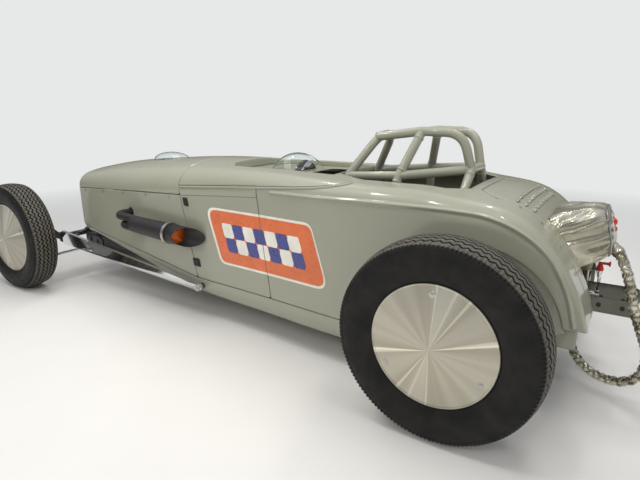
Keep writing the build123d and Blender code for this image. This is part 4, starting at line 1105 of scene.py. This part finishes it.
def wheels():
    """All four wheels from the rows of WHEELS."""
    metals = {end: spun_metal("spun_cover_" + end, end) for end in ("front", "rear")}
    for end, tyre_r, tyre_w, rim_w, disc_y in WHEELS:
        for side, sign in SIDES:
            tyre(end, side, sign, tyre_r, tyre_w, rim_w, disc_y)
            disc(end, side, sign, disc_y, metals[end])
            disc_buttons(end, side, sign, disc_y)
            smooth_copy(f"{end}_rim_{side}", RIM_GREY, f"{end}_wheel_{side}")


# Rigid parts that keep their CAD shape: node, finish, record slot, body
KEPT = (
    ("grille", FRAME_BLACK, "frame_black", "chassis"),
    ("firewall", SHEET, "bare_sheet", "chassis"),
    ("frame_rails", FRAME_BLACK, "frame_black", "chassis"),
    ("front_crossmember", FRAME_BLACK, "frame_black", "chassis"),
    ("front_spring", FRAME_BLACK, "frame_black", "chassis"),
    ("front_axle", FRAME_BLACK, "frame_black", "chassis"),
    ("tie_rod", CHROME, "chrome", "tie_rod"),
    ("rear_axle", FRAME_BLACK, "frame_black", "chassis"),
    ("rear_links", FRAME_BLACK, "frame_black", "chassis"),
    ("radius_rods", CHROME, "chrome", "chassis"),
    ("exhausts", EXHAUST_BLACK, "exhaust_black", "chassis"),
    ("knuckle_left", STEEL, "bare_steel", "knuckle_left"),
    ("knuckle_right", STEEL, "bare_steel", "knuckle_right"),
    ("engine_block", IRON, "cast_iron", "chassis"),
    ("exhaust_clamps", STEEL, "bare_steel", "chassis"),
    ("exhaust_plugs", ORANGE, "orange", "chassis"),
    ("seat", SEAT_HIDE, "seat_black", "chassis"),
    ("steering_column", STEEL, "bare_steel", "chassis"),
    ("steering_wheel", GRIP, "grip", "steering_wheel"),
    ("windscreen", CLEAR, "clear", "chassis"),
    ("hood_bubble", CLEAR, "clear", "chassis"),
    ("dash", GLOSS_BLACK, "gloss_black", "chassis"),
    ("pack_mount", SHEET, "bare_sheet", "chassis"),
    ("push_bar", BAR_METAL, "chrome", "chassis"),
)


def kept_parts():
    """The rigid parts of KEPT, each with its finish."""
    for node, material, slot, body in KEPT:
        smooth_copy(node, material, body)


# Parachute pack and tether


def value_noise(points, seed):
    """Smooth random values from -1 to 1: random numbers at whole grid corners, blended between
    them by 3f^2 - 2f^3 along each axis."""
    random = np.random.default_rng(seed).uniform(-1, 1, (32, 32, 32))
    base = np.floor(points).astype(int)
    f = points - base
    f = f * f * (3 - 2 * f)
    total = np.zeros(len(points))
    for corner in np.ndindex(2, 2, 2):
        index = (base + corner) % 32
        weight = np.prod(np.where(np.array(corner) == 1, f, 1 - f), axis=1)
        total += weight * random[index[:, 0], index[:, 1], index[:, 2]]
    return total


def creased(points, height, stretch, seed):
    """Sharp ridges where the noise n passes zero: the height times 1 - 2|n|."""
    return height * (1 - 2 * np.abs(value_noise(points * stretch, seed)))


# The pack's faces: its front, then rows of (share of the length, base z), (share of the height,
# rear s), (share of the length, top z) and (share of the length, half width)
PACK_FRONT_S = 0.205
PACK_BASE = np.array([(0, 0.575), (0.55, 0.592), (1, 0.652)])
PACK_REAR = np.array([(0, 0.522), (0.18, 0.536), (0.40, 0.532), (0.77, 0.510), (1, 0.490)])
PACK_TOP = np.array([(0, 0.826), (0.20, 0.832), (0.40, 0.858), (1, 0.882)])
PACK_WIDTH = np.array([(0, 0.208), (0.25, 0.208), (0.5, 0.186), (1, 0.128)])
PACK_HEM = 0.90
PACK_ROUND = 6.0
PACK_SLACK = 0.011
# Ridges in the cloth: height, how closely they follow each other each way, seed
LONG_FOLD = (0.0100, (1, 1.05, 1.05), 5)
FINE_FOLD = (0.0060, (1.1, 2.1, 2.1), 11)
CROSS_CREASE = (0.0024, (1.6, 1.2, 1.2), 3)
HEM_R = 0.004


def pack_place(blob):
    """Stretches a rounded cube, -1 to 1 each way, between the pack's faces."""
    length, height = (blob[:, 0] + 1) / 2, (blob[:, 2] + 1) / 2
    rear = np.interp(height, *PACK_REAR.T)
    s = PACK_FRONT_S + (rear - PACK_FRONT_S) * length
    base = np.interp(length, *PACK_BASE.T)
    z = base + (np.interp(length, *PACK_TOP.T) - base) * height
    return np.column_stack([REAR_AXLE_X + s, blob[:, 1] * np.interp(length, *PACK_WIDTH.T), z])


def parachute_pack():
    """A stuffed cloth bag: the cube |x|^p + |y|^p + |z|^p = 1 stretched between the pack's faces.
    Its folds are ridges of noise that is drawn out along the car, so they run back from the
    mouth, with shallow creases across them near the hem."""
    a = np.linspace(-np.pi, np.pi, 270, endpoint=False)
    b = np.linspace(-np.pi / 2, np.pi / 2, 150)
    b_grid, a_grid = np.meshgrid(b, a, indexing="ij")
    direction = [np.sin(b_grid), np.cos(b_grid) * np.cos(a_grid), np.cos(b_grid) * np.sin(a_grid)]
    direction = np.stack(direction, -1).reshape(-1, 3)
    blob = direction * ((np.abs(direction) ** PACK_ROUND).sum(1) ** (-1 / PACK_ROUND))[:, None]
    bend = blob + 0.15 * np.column_stack([value_noise(blob * 1.3, seed) for seed in (21, 22, 23)])
    droop = bend[:, 0] * 0.22
    drawn = np.column_stack([bend[:, 0] * 0.30, bend[:, 1] * 1.7, (bend[:, 2] - droop) * 2.3])
    folds = creased(drawn, *LONG_FOLD) + creased(drawn, *FINE_FOLD) + creased(bend, *CROSS_CREASE)
    slack = 0.40 + 0.60 * np.clip((0.92 - blob[:, 0]) / 0.4, 0, 1)
    points = pack_place(blob) + direction * (folds * slack - PACK_SLACK)[:, None]
    made = piece("parachute_pack_cloth", points, grid_faces(len(b), len(a), False, True), PACK_CLOTH,
                 slot="silver_cloth", smooth=70)
    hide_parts("parachute_pack")
    turn = np.linspace(0, 2 * np.pi, 160, endpoint=False)
    around = np.stack([np.cos(turn), np.sin(turn)], -1)
    around = around * ((np.abs(around) ** PACK_ROUND).sum(1) ** (-1 / PACK_ROUND))[:, None]
    reach = (1 - PACK_HEM**PACK_ROUND) ** (1 / PACK_ROUND)
    ring = pack_place(np.column_stack([np.full(len(turn), PACK_HEM), around * reach]))
    outward = unit(np.column_stack([np.full(len(turn), 0.5), around]))
    hem = swept(ring - outward * HEM_R, circle(HEM_R, 10), outward, True)
    piece("pack_hem", *hem, HEM, slot="silver_cloth", smooth=60)


# The tether's route, as in the part's source: s, y, z in millimetres
TETHER_ROUTE = (
    (546, -100, 692),
    (580, -127, 637),
    (606, -150, 560),
    (628, -156, 470),
    (668, -158, 375),
    (705, -150, 275),
    (700, -130, 170),
    (640, -100, 95),
    (545, -65, 75),
    (455, -35, 110),
    (400, 0, 190),
    (400, 0, 290),
)
TETHER_R = 0.023
TETHER_CORE_R = 0.0125
STRANDS = 3
STRAND_PITCH = 0.155
STRAND_W = 0.034
STRAND_THICK = 0.0052
STRAND_WEAVE = 0.0036
# One strand's section: shares of its half width and of its thickness
STRAND = np.array([(-1, 0), (-0.8, 0.8), (0, 1), (0.8, 0.8), (1, 0), (0, -0.4)])


def tether_line():
    """Points read from the NURBS curve that has the route as its control points."""
    curve = bpy.data.curves.new("tether_line", "CURVE")
    curve.dimensions = "3D"
    spline = curve.splines.new("NURBS")
    spline.points.add(len(TETHER_ROUTE) - 1)
    for point, (s, y, z) in zip(spline.points, TETHER_ROUTE):
        point.co = (REAR_AXLE_X + s * MM, y * MM, z * MM, 1)
    spline.order_u = 3
    spline.use_endpoint_u = True
    spline.resolution_u = 30
    holder = bpy.data.objects.new("tether_line", curve)
    mesh = bpy.data.meshes.new_from_object(holder)
    points = np.array([v.co[:] for v in mesh.vertices])
    bpy.data.objects.remove(holder)
    bpy.data.curves.remove(curve)
    bpy.data.meshes.remove(mesh)
    return spaced(points, 260), running_length(points)[-1]


def carried_frame(path):
    """At each path point two directions square to the path, turned as little as possible."""
    tangent = unit(np.gradient(path, axis=0))
    side = np.zeros_like(path)
    current = np.array([0.0, 1.0, 0.0]) if abs(tangent[0, 1]) < 0.9 else np.array([1.0, 0.0, 0.0])
    for index, direction in enumerate(tangent):
        current = current - (current @ direction) * direction
        current = current / np.linalg.norm(current)
        side[index] = current
    return side, np.cross(tangent, side)


def around(place, side, over, angle, reach):
    """place + reach (cos angle * side + sin angle * over), for whole arrays."""
    return place + reach * (np.cos(angle)[..., None] * side + np.sin(angle)[..., None] * over)


def tether():
    """A plaited sleeve: flat strands wound both ways about the line, each passing over one
    crossing strand and under the next: its height swings by the cosine of the turn."""
    path, length = tether_line()
    side, over = carried_frame(path)
    line = path[:, None], side[:, None], over[:, None]
    run = np.linspace(0, length, len(path))
    angle = np.linspace(0, 2 * np.pi, 24, endpoint=False)
    parts = [(around(*line, angle[None], TETHER_CORE_R), grid_faces(len(path), len(angle), False, True))]
    for direction in (-1, 1):
        for strand in range(STRANDS):
            turn = direction * 2 * np.pi * run / STRAND_PITCH + 2 * np.pi * strand / STRANDS
            height = TETHER_R - STRAND_THICK - STRAND_WEAVE * (1 - direction * np.cos(STRANDS * turn))
            angle = turn[:, None] + STRAND[:, 0] * STRAND_W / 2 / TETHER_R
            reach = height[:, None] + STRAND[:, 1] * STRAND_THICK
            faces = grid_faces(len(path), len(STRAND), False, True)
            parts.append((around(*line, angle, reach[..., None]), faces))
    made = piece("tether_sleeve", *joined_parts(parts), TETHER_CLOTH, slot="tether_cloth", smooth=60)
    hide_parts("tether")


# Cage, louvres and small fittings


def bent(corners, radius, count=10):
    """A line through corners, each one rounded by a parabola that starts and ends at reach."""
    corners = np.asarray(corners, float)
    made = [corners[0]]
    for before, corner, after in zip(corners, corners[1:], corners[2:]):
        a, b = before - corner, after - corner
        half = math.acos(np.clip(unit(a) @ unit(b), -1, 1)) / 2
        reach = min(radius / math.tan(half), 0.48 * np.linalg.norm(a), 0.48 * np.linalg.norm(b))
        share = np.linspace(0, 1, count)[:, None]
        first = (corner + unit(a) * reach) * (1 - share) + corner * share
        second = corner * (1 - share) + (corner + unit(b) * reach) * share
        made.extend(first * (1 - share) + second * share)
    made.append(corners[-1])
    return np.array(made)


def pipe(path, radius, count=20):
    """A round bar along a path, closed at both ends."""
    path = np.asarray(path, float)
    line = [doubled_ends(rows)[:, None] for rows in (path, *carried_frame(path))]
    reach = np.full((len(path) + 2, 1, 1), radius)
    reach[[0, -1]] = 0
    angle = np.linspace(0, 2 * np.pi, count, endpoint=False)
    return around(*line, angle[None], reach), grid_faces(len(reach), count, False, True)


def lathe(base, axis, profile, count=24):
    """Rows of (radius, height) turned about an axis from a base point."""
    axis = unit(np.asarray(axis, float))
    side = unit(np.cross(axis, (0.31, 0.92, 0.23)))
    angle = np.linspace(0, 2 * np.pi, count, endpoint=False)
    radius, height = profile.T[:, :, None, None]
    points = around(base + height * axis, side, np.cross(axis, side), angle, radius)
    return points, grid_faces(len(profile), count, False, True)


def at(s, y, z):
    """A place in the frame from its distance behind the rear axle."""
    return np.array([REAR_AXLE_X + s, y, z])


# Cage joints on one side, as s, y, z in metres
CAGE_R = 0.0225
FOOT_Z = 0.272
RAIL_Y = 0.300
FRONT_JOINT = (-0.737, 0.181, 0.948)
MIDDLE_JOINT = (-0.422, 0.228, 0.971)
TOP_JOINT = (-0.355, 0.116, 1.178)
REAR_JOINT = (-0.108, 0.082, 1.004)
FRONT_CORNER = (-0.604, 0.078, 1.157)
# Tube routes: the front hoop's half, then one side's tubes with their bend radii
CAGE_HOOP = ((-0.600, 0.080, 1.163), (-0.737, 0.181, 0.950), (-0.770, 0.250, 0.690), (-0.800, RAIL_Y, 0.420),
             (-0.800, RAIL_Y, FOOT_Z))
HOOP_BEND = 0.120
CAGE_SIDE = (
    ((FRONT_JOINT, MIDDLE_JOINT, REAR_JOINT), 0.075),
    (((-0.605, 0.084, 1.153), (-0.355, 0.114, 1.184), (-0.150, 0.110, 1.178), REAR_JOINT), 0.110),
    ((TOP_JOINT, MIDDLE_JOINT, (-0.450, RAIL_Y, 0.780), (-0.450, RAIL_Y, FOOT_Z)), 0.060),
    ((REAR_JOINT, (-0.115, 0.200, 0.860), (-0.150, RAIL_Y, 0.600), (-0.150, RAIL_Y, FOOT_Z)), 0.060),
)
# Welds: where a tube meets another, and a point further along the tube it ends
WELDS = (
    (FRONT_JOINT, MIDDLE_JOINT),
    (MIDDLE_JOINT, TOP_JOINT),
    (TOP_JOINT, MIDDLE_JOINT),
    (MIDDLE_JOINT, (-0.448, 0.290, 0.800)),
    (REAR_JOINT, MIDDLE_JOINT),
    (REAR_JOINT, (-0.115, 0.200, 0.860)),
)
WELD_STAND = 0.031
WELD_RISE = 0.0032
WELD_HALF = 0.006
JOINT_RISE = 0.0025


def roll_cage():
    """Every tube in one piece, with a ball at open corners and a low weld ring, a half sine
    high, where tubes meet."""
    swell = np.linspace(0, np.pi, 7)
    ring = np.column_stack([CAGE_R + WELD_RISE * np.sin(swell), np.linspace(-WELD_HALF, WELD_HALF, 7)])
    hoop = [(s, -y, z) for s, y, z in reversed(CAGE_HOOP)] + list(CAGE_HOOP)
    parts = [pipe(bent([at(*corner) for corner in hoop], HOOP_BEND), CAGE_R)]
    for _, sign in SIDES:
        mirror = (1, sign, 1)
        for corners, bend in CAGE_SIDE:
            parts.append(pipe(bent([at(*corner) * mirror for corner in corners], bend), CAGE_R))
        for corner in (REAR_JOINT, FRONT_CORNER):
            parts.append(lathe(at(*corner) * mirror, (0, 0, 1), BALL * (CAGE_R + JOINT_RISE)))
        for start, end in WELDS:
            start, end = at(*start) * mirror, at(*end) * mirror
            axis = unit(end - start)
            parts.append(lathe(start + axis * WELD_STAND, axis, ring, 28))
    parts.append(pipe([at(*REAR_JOINT) * (1, -1, 1), at(*REAR_JOINT)], CAGE_R))
    made = piece("roll_cage_tubes", *joined_parts(parts), ENAMEL, slot="body_paint", smooth=50)
    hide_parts("roll_cage")


LOUVRE_ROWS = (0.155, 0.190, 0.225)
LOUVRE_COUNT = 8
LOUVRE_PITCH = 0.072
LOUVRE_W = 0.050
LOUVRE_RUN = 0.017
LOUVRE_RISE = 0.0095


def louvres():
    """Hooded openings across the lid: each hood rises by a quarter sine to its open rear edge and
    falls to the skin at both ends by the fourth root of 1 - v^8. A dark strip of painted shade
    stands in the opening, where the hood's shadow falls."""
    y_row = (np.arange(LOUVRE_COUNT) - (LOUVRE_COUNT - 1) / 2) * LOUVRE_PITCH
    s_mid, y_mid = np.meshgrid(LOUVRE_ROWS, y_row)
    s_mid, y_mid = s_mid.ravel()[:, None, None], y_mid.ravel()[:, None, None]
    t, v = np.meshgrid(np.linspace(0, 1, 10), np.linspace(-1, 1, 21), indexing="ij")
    s = s_mid + LOUVRE_RUN * (t - 1)
    y = y_mid + v * LOUVRE_W / 2
    u = u_at_width(s, y)
    rise = LOUVRE_RISE * np.sin(t * np.pi / 2) * np.maximum(1 - v**8, 0) ** 0.25
    points = body_point(s, u) + (rise - 0.0004)[..., None] * body_normal(s, u)
    faces = grid_faces(10, 21)
    hoods = [(block, faces) for block in points]
    made = piece("lid_louvres", *joined_parts(hoods), ENAMEL, slot="body_paint", smooth=60)
    add_wall(made, 0.0012)
    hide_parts("deck_lid")
    # Painted shade: dark strips set in the hoods' openings, where there is only shadow.
    t, v = np.meshgrid(np.linspace(0, 1, 3), np.linspace(-1, 1, 9), indexing="ij")
    s = s_mid - 0.003 + 0.004 * t
    y = y_mid + v * LOUVRE_W * 0.45
    u = u_at_width(s, y)
    points = body_point(s, u) + (0.0008 + (1 - t) * LOUVRE_RISE * 0.75)[None, ..., None] * body_normal(s, u)
    shade_strips = [(block, grid_faces(3, 9)) for block in points]
    piece("louvre_shade_strips", *joined_parts(shade_strips), STRIPE_DARK, slot="frame_black", smooth=60)


def on_skin(s, z, sign):
    """Places on the flank with their outward directions."""
    u = u_at_height(s, z, sign)
    return body_point(s, u), body_normal(s, u)


# Turned fittings, as rows of radius and height
STUD = np.array([(0.0105, -0.002), (0.0105, 0.0012), (0.0085, 0.0022), (0.0062, 0.0018), (0.0058, 0.0030),
                 (0.0, 0.0036)])
EYE = np.array([(0.0, 0.013), (0.008, 0.013), (0.0095, 0.011), (0.0095, 0.0065), (0.0215, 0.0062),
                (0.0235, 0.004), (0.0235, -0.004)])
BALL = np.array([(math.sin(a), -math.cos(a)) for a in np.linspace(0.02, math.pi - 0.02, 14)])
PIN_HEAD = np.array([(0.0, 0.004), (0.011, 0.003), (0.0125, 0.0), (0.011, -0.003), (0.0065, -0.006),
                     (0.0055, -0.045), (0.0, -0.046)])
SOCKET = np.array([(0.0, 0.016), (0.008, 0.015), (0.010, 0.010), (0.016, -0.012),
                   (0.014, -0.017), (0.0, -0.018)])
NUT = np.array([(0.0, 0.006), (0.008, 0.0055), (0.0095, 0.004), (0.0095, -0.004),
                (0.008, -0.0055), (0.0, -0.006)])

# Where they sit: s on the hood's split line, (s, y) on the lid, then s, z and half sizes of latches
HOOD_STUDS = (-2.956, -2.697, -2.441, -2.177, -1.930)
LID_STUDS = ((0.075, 0.322), (0.175, 0.322), (0.265, 0.322), (0.345, 0.322))
LATCHES = ((-1.760, 0.749, 0.018, 0.027), (-1.696, 0.366, 0.029, 0.026))
LATCH_RISE = 0.013
STUD_DROP = 0.016


def fasteners():
    """Quarter-turn studs along the hood's split line and the lid, and the hood's black latches:
    domes as high as the 0.35th power of (1 - a^8)(1 - b^8)."""
    studs, pads = [], []
    a, b = np.meshgrid(np.linspace(-1, 1, 15), np.linspace(-1, 1, 15), indexing="ij")
    dome = LATCH_RISE * np.maximum((1 - a**8) * (1 - b**8), 0) ** 0.35
    lean = (SEAM_1[1][0] - SEAM_1[0][0]) / (SEAM_1[1][1] - SEAM_1[0][1])
    for _, sign in SIDES:
        for s in HOOD_STUDS:
            split_z = np.interp(s, *zip(SPLIT_NOSE, SPLIT_REAR))
            studs.append(lathe(*on_skin(s, split_z - STUD_DROP, sign), STUD))
        for s, y in LID_STUDS:
            u = u_at_width(s, sign * y)
            studs.append(lathe(body_point(s, u), body_normal(s, u), STUD * (0.7, 0.5)))
        for s, z, half_s, half_z in LATCHES:
            base, normal = on_skin(s + a * half_s + b * half_z * lean, z + b * half_z, sign)
            pads.append((base + (dome - 0.001)[..., None] * normal, grid_faces(15, 15)))
    piece("skin_studs", *joined_parts(studs), STEEL, slot="bare_steel", smooth=35)
    piece("hood_latches", *joined_parts(pads), GRIP, slot="grip", smooth=45)


BOLT_ROD = (0.483, 0.000)


def fittings():
    """Rod eyes, release knobs and pin below the pack, a threaded rod with nuts, bolts on the bar."""
    eyes, bolts = [], []
    for _, sign in SIDES:
        eyes.append(lathe(at(ROD_PIVOT[0], sign * 0.4745, ROD_PIVOT[1]), (0, sign, 0), EYE))
        for s in (0.500, 0.590):
            bolts.append(lathe(at(s, sign * 0.1108, 0.445), (0, sign, 0), NUT * (1.0, 0.8)))
            bolts.append(lathe(at(s, sign * 0.085, 0.409), (0, 0, -1), NUT * (0.8, 0.8), 6))
    piece("radius_rod_eyes", *joined_parts(eyes), STEEL, slot="bare_steel", smooth=35)
    piece("push_bar_bolts", *joined_parts(bolts), GRIP, slot="grip", smooth=35)
    s, y = BOLT_ROD
    reds = [
        lathe(at(0.506, 0.0, 0.800), (0, 0, 1), BALL * 0.0185),
        lathe(at(0.512, 0.0, 0.768), (0, 0, 1), BALL * 0.0155),
        lathe(at(0.520, 0.0, 0.606), (1, 0, 0), PIN_HEAD),
        lathe(at(s, y, 0.588), (0, 0, 1), SOCKET),
    ]
    piece("release_pins", *joined_parts(reds), RED, slot="orange", smooth=35)
    post = [
        pipe([at(s, y, 0.452), at(s, y, 0.585)], 0.0048, 12),
        lathe(at(s, y, 0.545), (0, 0, 1), NUT, 6),
        lathe(at(s, y, 0.468), (0, 0, 1), NUT * (1.2, 1.0), 6),
        pipe([at(s - 0.045, y, 0.460), at(s + 0.010, y, 0.460)], 0.007, 12),
    ]
    piece("pack_stay", *joined_parts(post), CHROME, slot="chrome", smooth=35)


TAB_S = (0.378, 0.452)
TAB_Z = (0.356, 0.446)
TAB_Y = 0.447


def quarter_tabs():
    """The rounded body-coloured tab that hangs below each rear quarter: x and z keep inside a
    rounded rectangle |a|^6 + |b|^6 = 1, drawn from the middle outwards."""
    around_tab = np.linspace(0, 2 * np.pi, 64, endpoint=False)
    share, turn = np.meshgrid(np.linspace(0, 1, 8), around_tab, indexing="ij")
    reach = share * (np.abs(np.cos(turn)) ** 6 + np.abs(np.sin(turn)) ** 6) ** (-1 / 6)
    x = REAR_AXLE_X + sum(TAB_S) / 2 + (TAB_S[1] - TAB_S[0]) / 2 * reach * np.cos(turn)
    z = sum(TAB_Z) / 2 + (TAB_Z[1] - TAB_Z[0]) / 2 * reach * np.sin(turn)
    faces = grid_faces(8, 64, False, True)
    tabs = [(np.stack([x, np.full(x.shape, sign * TAB_Y), z], -1), faces) for _, sign in SIDES]
    made = piece("quarter_tabs", *joined_parts(tabs), ENAMEL, slot="body_paint", smooth=40)
    add_wall(made, 0.004, 0)
    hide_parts("body_tub")


FLANGE_W = 0.048
FLANGE_LAP = 0.006
FLANGE_DEPTH = 0.010
FLANGE_ARC = (-0.02, 1.25)
FLANGE_TAPER = 0.5


def arch_flanges():
    """The return behind each rear arch's edge: a ring about the arch's centre, sunk 10 mm under
    the skin, from just outside the opening's radius to the flange's width inside it."""
    a, share = np.meshgrid(np.linspace(*FLANGE_ARC, 60), np.linspace(0, 1, 6), indexing="ij")
    taper = np.clip((FLANGE_ARC[1] - a) / FLANGE_TAPER, 0, 1) ** 0.5
    r = ARCH_R + FLANGE_LAP - (FLANGE_W + FLANGE_LAP) * share * taper
    s = ARCH_CENTRE[0] + r * np.cos(a)
    z = ARCH_CENTRE[1] + r * np.sin(a)
    parts = []
    for _, sign in SIDES:
        base, normal = on_skin(s, z, sign)
        parts.append((base - FLANGE_DEPTH * normal, grid_faces(60, 6)))
    made = piece("arch_flanges", *joined_parts(parts), ENAMEL, slot="body_paint", smooth=60)
    add_wall(made, 0.002, 0)


# The cuff: its ends, then shares of its length with radii, and its gathers
COLLAR_ENDS = ((0.492, -0.052, 0.722), (0.552, -0.104, 0.684))
COLLAR_SHARES = (0, 0.15, 0.6, 0.8, 1)
COLLAR_RADII = (0.024, 0.027, 0.0245, 0.0265, 0.0245)
COLLAR_MOUTH_R = 0.018
GATHER, GATHER_TURNS = 0.0012, 31


def tether_collar():
    """The cloth cuff that ties the sleeve to the pack's lower corner: a turned form whose radius
    ripples by a sine of the length."""
    first, last = (at(*end) for end in COLLAR_ENDS)
    share = np.linspace(0, 1, 14)
    reach = np.interp(share, COLLAR_SHARES, COLLAR_RADII) + GATHER * np.sin(share * GATHER_TURNS)
    height = np.r_[0, share, 1] * np.linalg.norm(last - first)
    cuff = lathe(first, last - first, np.column_stack([np.r_[0, reach, COLLAR_MOUTH_R], height]), 40)
    piece("tether_collar", *cuff, TETHER_CLOTH, slot="tether_cloth", smooth=60)


# Camera, stage and light

CAMERA_PLACE = (REAR_AXLE_X + 0.5518, -2.4329, 1.2683)
CAMERA_YAW = 0.5797
CAMERA_PITCH = 0.2565
CAMERA_ROLL = -0.0082
CAMERA_LENS = 26.907


def stand(made, place, right, up, ahead):
    """Puts an object in the scene at a place, looking ahead."""
    bpy.context.scene.collection.objects.link(made)
    rows = np.column_stack([right, up, -np.asarray(ahead), place]).tolist()
    made.matrix_world = Matrix([*rows, (0, 0, 0, 1)])


def camera():
    """Stands where the photograph was taken from: the view direction from yaw and pitch, then a
    small roll about it."""
    data = bpy.data.cameras.new("camera")
    data.lens = CAMERA_LENS
    data.sensor_width = 36
    level = np.array([-math.sin(CAMERA_YAW), math.cos(CAMERA_YAW), 0])
    ahead = math.cos(CAMERA_PITCH) * level - math.sin(CAMERA_PITCH) * np.array([0, 0, 1])
    right = np.array([math.cos(CAMERA_YAW), math.sin(CAMERA_YAW), 0])
    up = np.cross(right, ahead)
    cos_roll, sin_roll = math.cos(CAMERA_ROLL), math.sin(CAMERA_ROLL)
    right, up = cos_roll * right + sin_roll * up, cos_roll * up - sin_roll * right
    made = bpy.data.objects.new("camera", data)
    stand(made, CAMERA_PLACE, right, up, ahead)
    bpy.context.scene.camera = made


BACKDROP = (0.80, 0.81, 0.81)
LOW_LIGHT = (0.20, 0.18, 0.15)
HIGH_LIGHT = (0.90, 0.94, 1.0)
WORLD_STRENGTH = 0.60
LIGHT_HEIGHTS = (0.05, 0.75)
FLOOR_REACH = 30.0
FLOOR_DARK, FLOOR_PALE = (0.68, 0.67, 0.645), (0.72, 0.71, 0.685)
FADE = (3.0, 7.0)


def floor():
    """A pale floor that turns into the backdrop's own colour away from the car."""
    corners = [(x * FLOOR_REACH, y * FLOOR_REACH, 0) for x, y in ((-1, -1), (1, -1), (1, 1), (-1, 1))]
    mesh = bpy.data.meshes.new("floor")
    mesh.from_pydata(corners, [], [(0, 1, 2, 3)])
    finish = Finish("floor_paint", FLOOR_PALE, 0.0, 0.6)
    finish.colour(finish.mixed(finish.noise(3, 4), FLOOR_DARK, FLOOR_PALE))
    flat = finish.node("ShaderNodeMapping", Vector=finish.place, Scale=(1, 1, 0))
    away = finish.node("ShaderNodeVectorMath", Vector=flat.outputs[0])
    away.operation = "LENGTH"
    glow = finish.node("ShaderNodeEmission", Color=(*BACKDROP, 1), Strength=1.0)
    blend = finish.node("ShaderNodeMixShader")
    finish.feed(blend.inputs[0], finish.ramp(away.outputs["Value"], *FADE, 0.0, 1.0))
    finish.feed(blend.inputs[1], finish.shader.outputs[0])
    finish.feed(blend.inputs[2], glow.outputs[0])
    finish.links.new(blend.outputs[0], finish.nodes["Material Output"].inputs["Surface"])
    mesh.materials.append(finish.material)
    made = bpy.data.objects.new("floor", mesh)
    bpy.context.scene.collection.objects.link(made)


def world_light():
    """A world that is dim at the horizon, bright overhead and pale to the camera."""
    world = bpy.data.worlds.new("world")
    bpy.context.scene.world = world
    world.use_nodes = True
    nodes, links = world.node_tree.nodes, world.node_tree.links
    nodes.clear()
    light, pale = nodes.new("ShaderNodeBackground"), nodes.new("ShaderNodeBackground")
    light.inputs[1].default_value = WORLD_STRENGTH
    pale.inputs[0].default_value = (*BACKDROP, 1)
    coordinates, split = nodes.new("ShaderNodeTexCoord"), nodes.new("ShaderNodeSeparateXYZ")
    height, tint = nodes.new("ShaderNodeMapRange"), nodes.new("ShaderNodeMix")
    tint.data_type = "RGBA"
    links.new(coordinates.outputs["Generated"], split.inputs[0])
    links.new(split.outputs["Z"], height.inputs[0])
    height.inputs[1].default_value, height.inputs[2].default_value = LIGHT_HEIGHTS
    links.new(height.outputs[0], tint.inputs["Factor"])
    tint.inputs[6].default_value, tint.inputs[7].default_value = (*LOW_LIGHT, 1), (*HIGH_LIGHT, 1)
    links.new(tint.outputs[2], light.inputs[0])
    mix, path = nodes.new("ShaderNodeMixShader"), nodes.new("ShaderNodeLightPath")
    out = nodes.new("ShaderNodeOutputWorld")
    links.new(path.outputs["Is Camera Ray"], mix.inputs[0])
    links.new(light.outputs[0], mix.inputs[1])
    links.new(pale.outputs[0], mix.inputs[2])
    links.new(mix.outputs[0], out.inputs[0])


# Broad lamps that don't show in the paint: name, place, size, power, colour
SOFT_LAMPS = (
    ("over_front", (-1.2, -0.6, 3.6), (3.4, 1.2), 58, (1.0, 0.97, 0.92)),
    ("over_rear", (1.8, 0.6, 3.6), (3.0, 1.0), 48, (1.0, 0.97, 0.93)),
    ("near_side", (0.6, -4.4, 2.6), (3.6, 1.0), 42, (1.0, 0.98, 0.95)),
    ("far_side", (0.0, 4.6, 2.4), (4.0, 1.2), 36, (0.93, 0.96, 1.0)),
    ("tail", (5.0, -0.8, 2.0), (1.6, 1.2), 26, (1.0, 0.98, 0.96)),
)
# Small lamps that show as bright spots: place, width, power
HALL_LAMPS = (
    ((-2.6, -1.9, 4.6), 0.22, 13),
    ((-0.9, -1.2, 4.6), 0.22, 13),
    ((0.8, -1.7, 4.6), 0.22, 13),
    ((2.6, -1.4, 4.6), 0.22, 13),
    ((-1.8, 1.6, 4.6), 0.22, 13),
    ((1.6, 1.8, 4.6), 0.22, 13),
    ((-0.6, -5.2, 4.4), 0.25, 16),
    ((2.2, -5.0, 4.4), 0.25, 16),
)
HALL_COLOUR = (1.0, 0.97, 0.92)
LAMP_AIM = (0.0, 0.0, 0.5)


def lamp(name, place, size, power, colour, mirrored):
    """A rectangular lamp that faces the car."""
    data = bpy.data.lights.new(name, "AREA")
    data.shape = "RECTANGLE"
    data.size, data.size_y = size
    data.energy = power
    data.color = colour
    made = bpy.data.objects.new(name, data)
    made.visible_glossy = mirrored
    ahead = unit(np.subtract(LAMP_AIM, place))
    right = unit(np.cross(ahead, (0, 0, 1)))
    stand(made, place, right, np.cross(right, ahead), ahead)


def lamps():
    """The soft lamps, then the small ones that stand for a hall's ceiling lights."""
    for row in SOFT_LAMPS:
        lamp(*row, False)
    for number, (place, width, power) in enumerate(HALL_LAMPS, 1):
        lamp(f"hall_{number}", place, (width, width), power, HALL_COLOUR, True)


camera()
floor()
world_light()
lamps()
tether()
body_panels()
sunken_deck()
mouldings()
flank_plates()
wheels()
kept_parts()
roll_cage()
louvres()
fasteners()
fittings()
quarter_tabs()
arch_flanges()
parachute_pack()
tether_collar()

bpy.context.scene.view_settings.view_transform = "Standard"
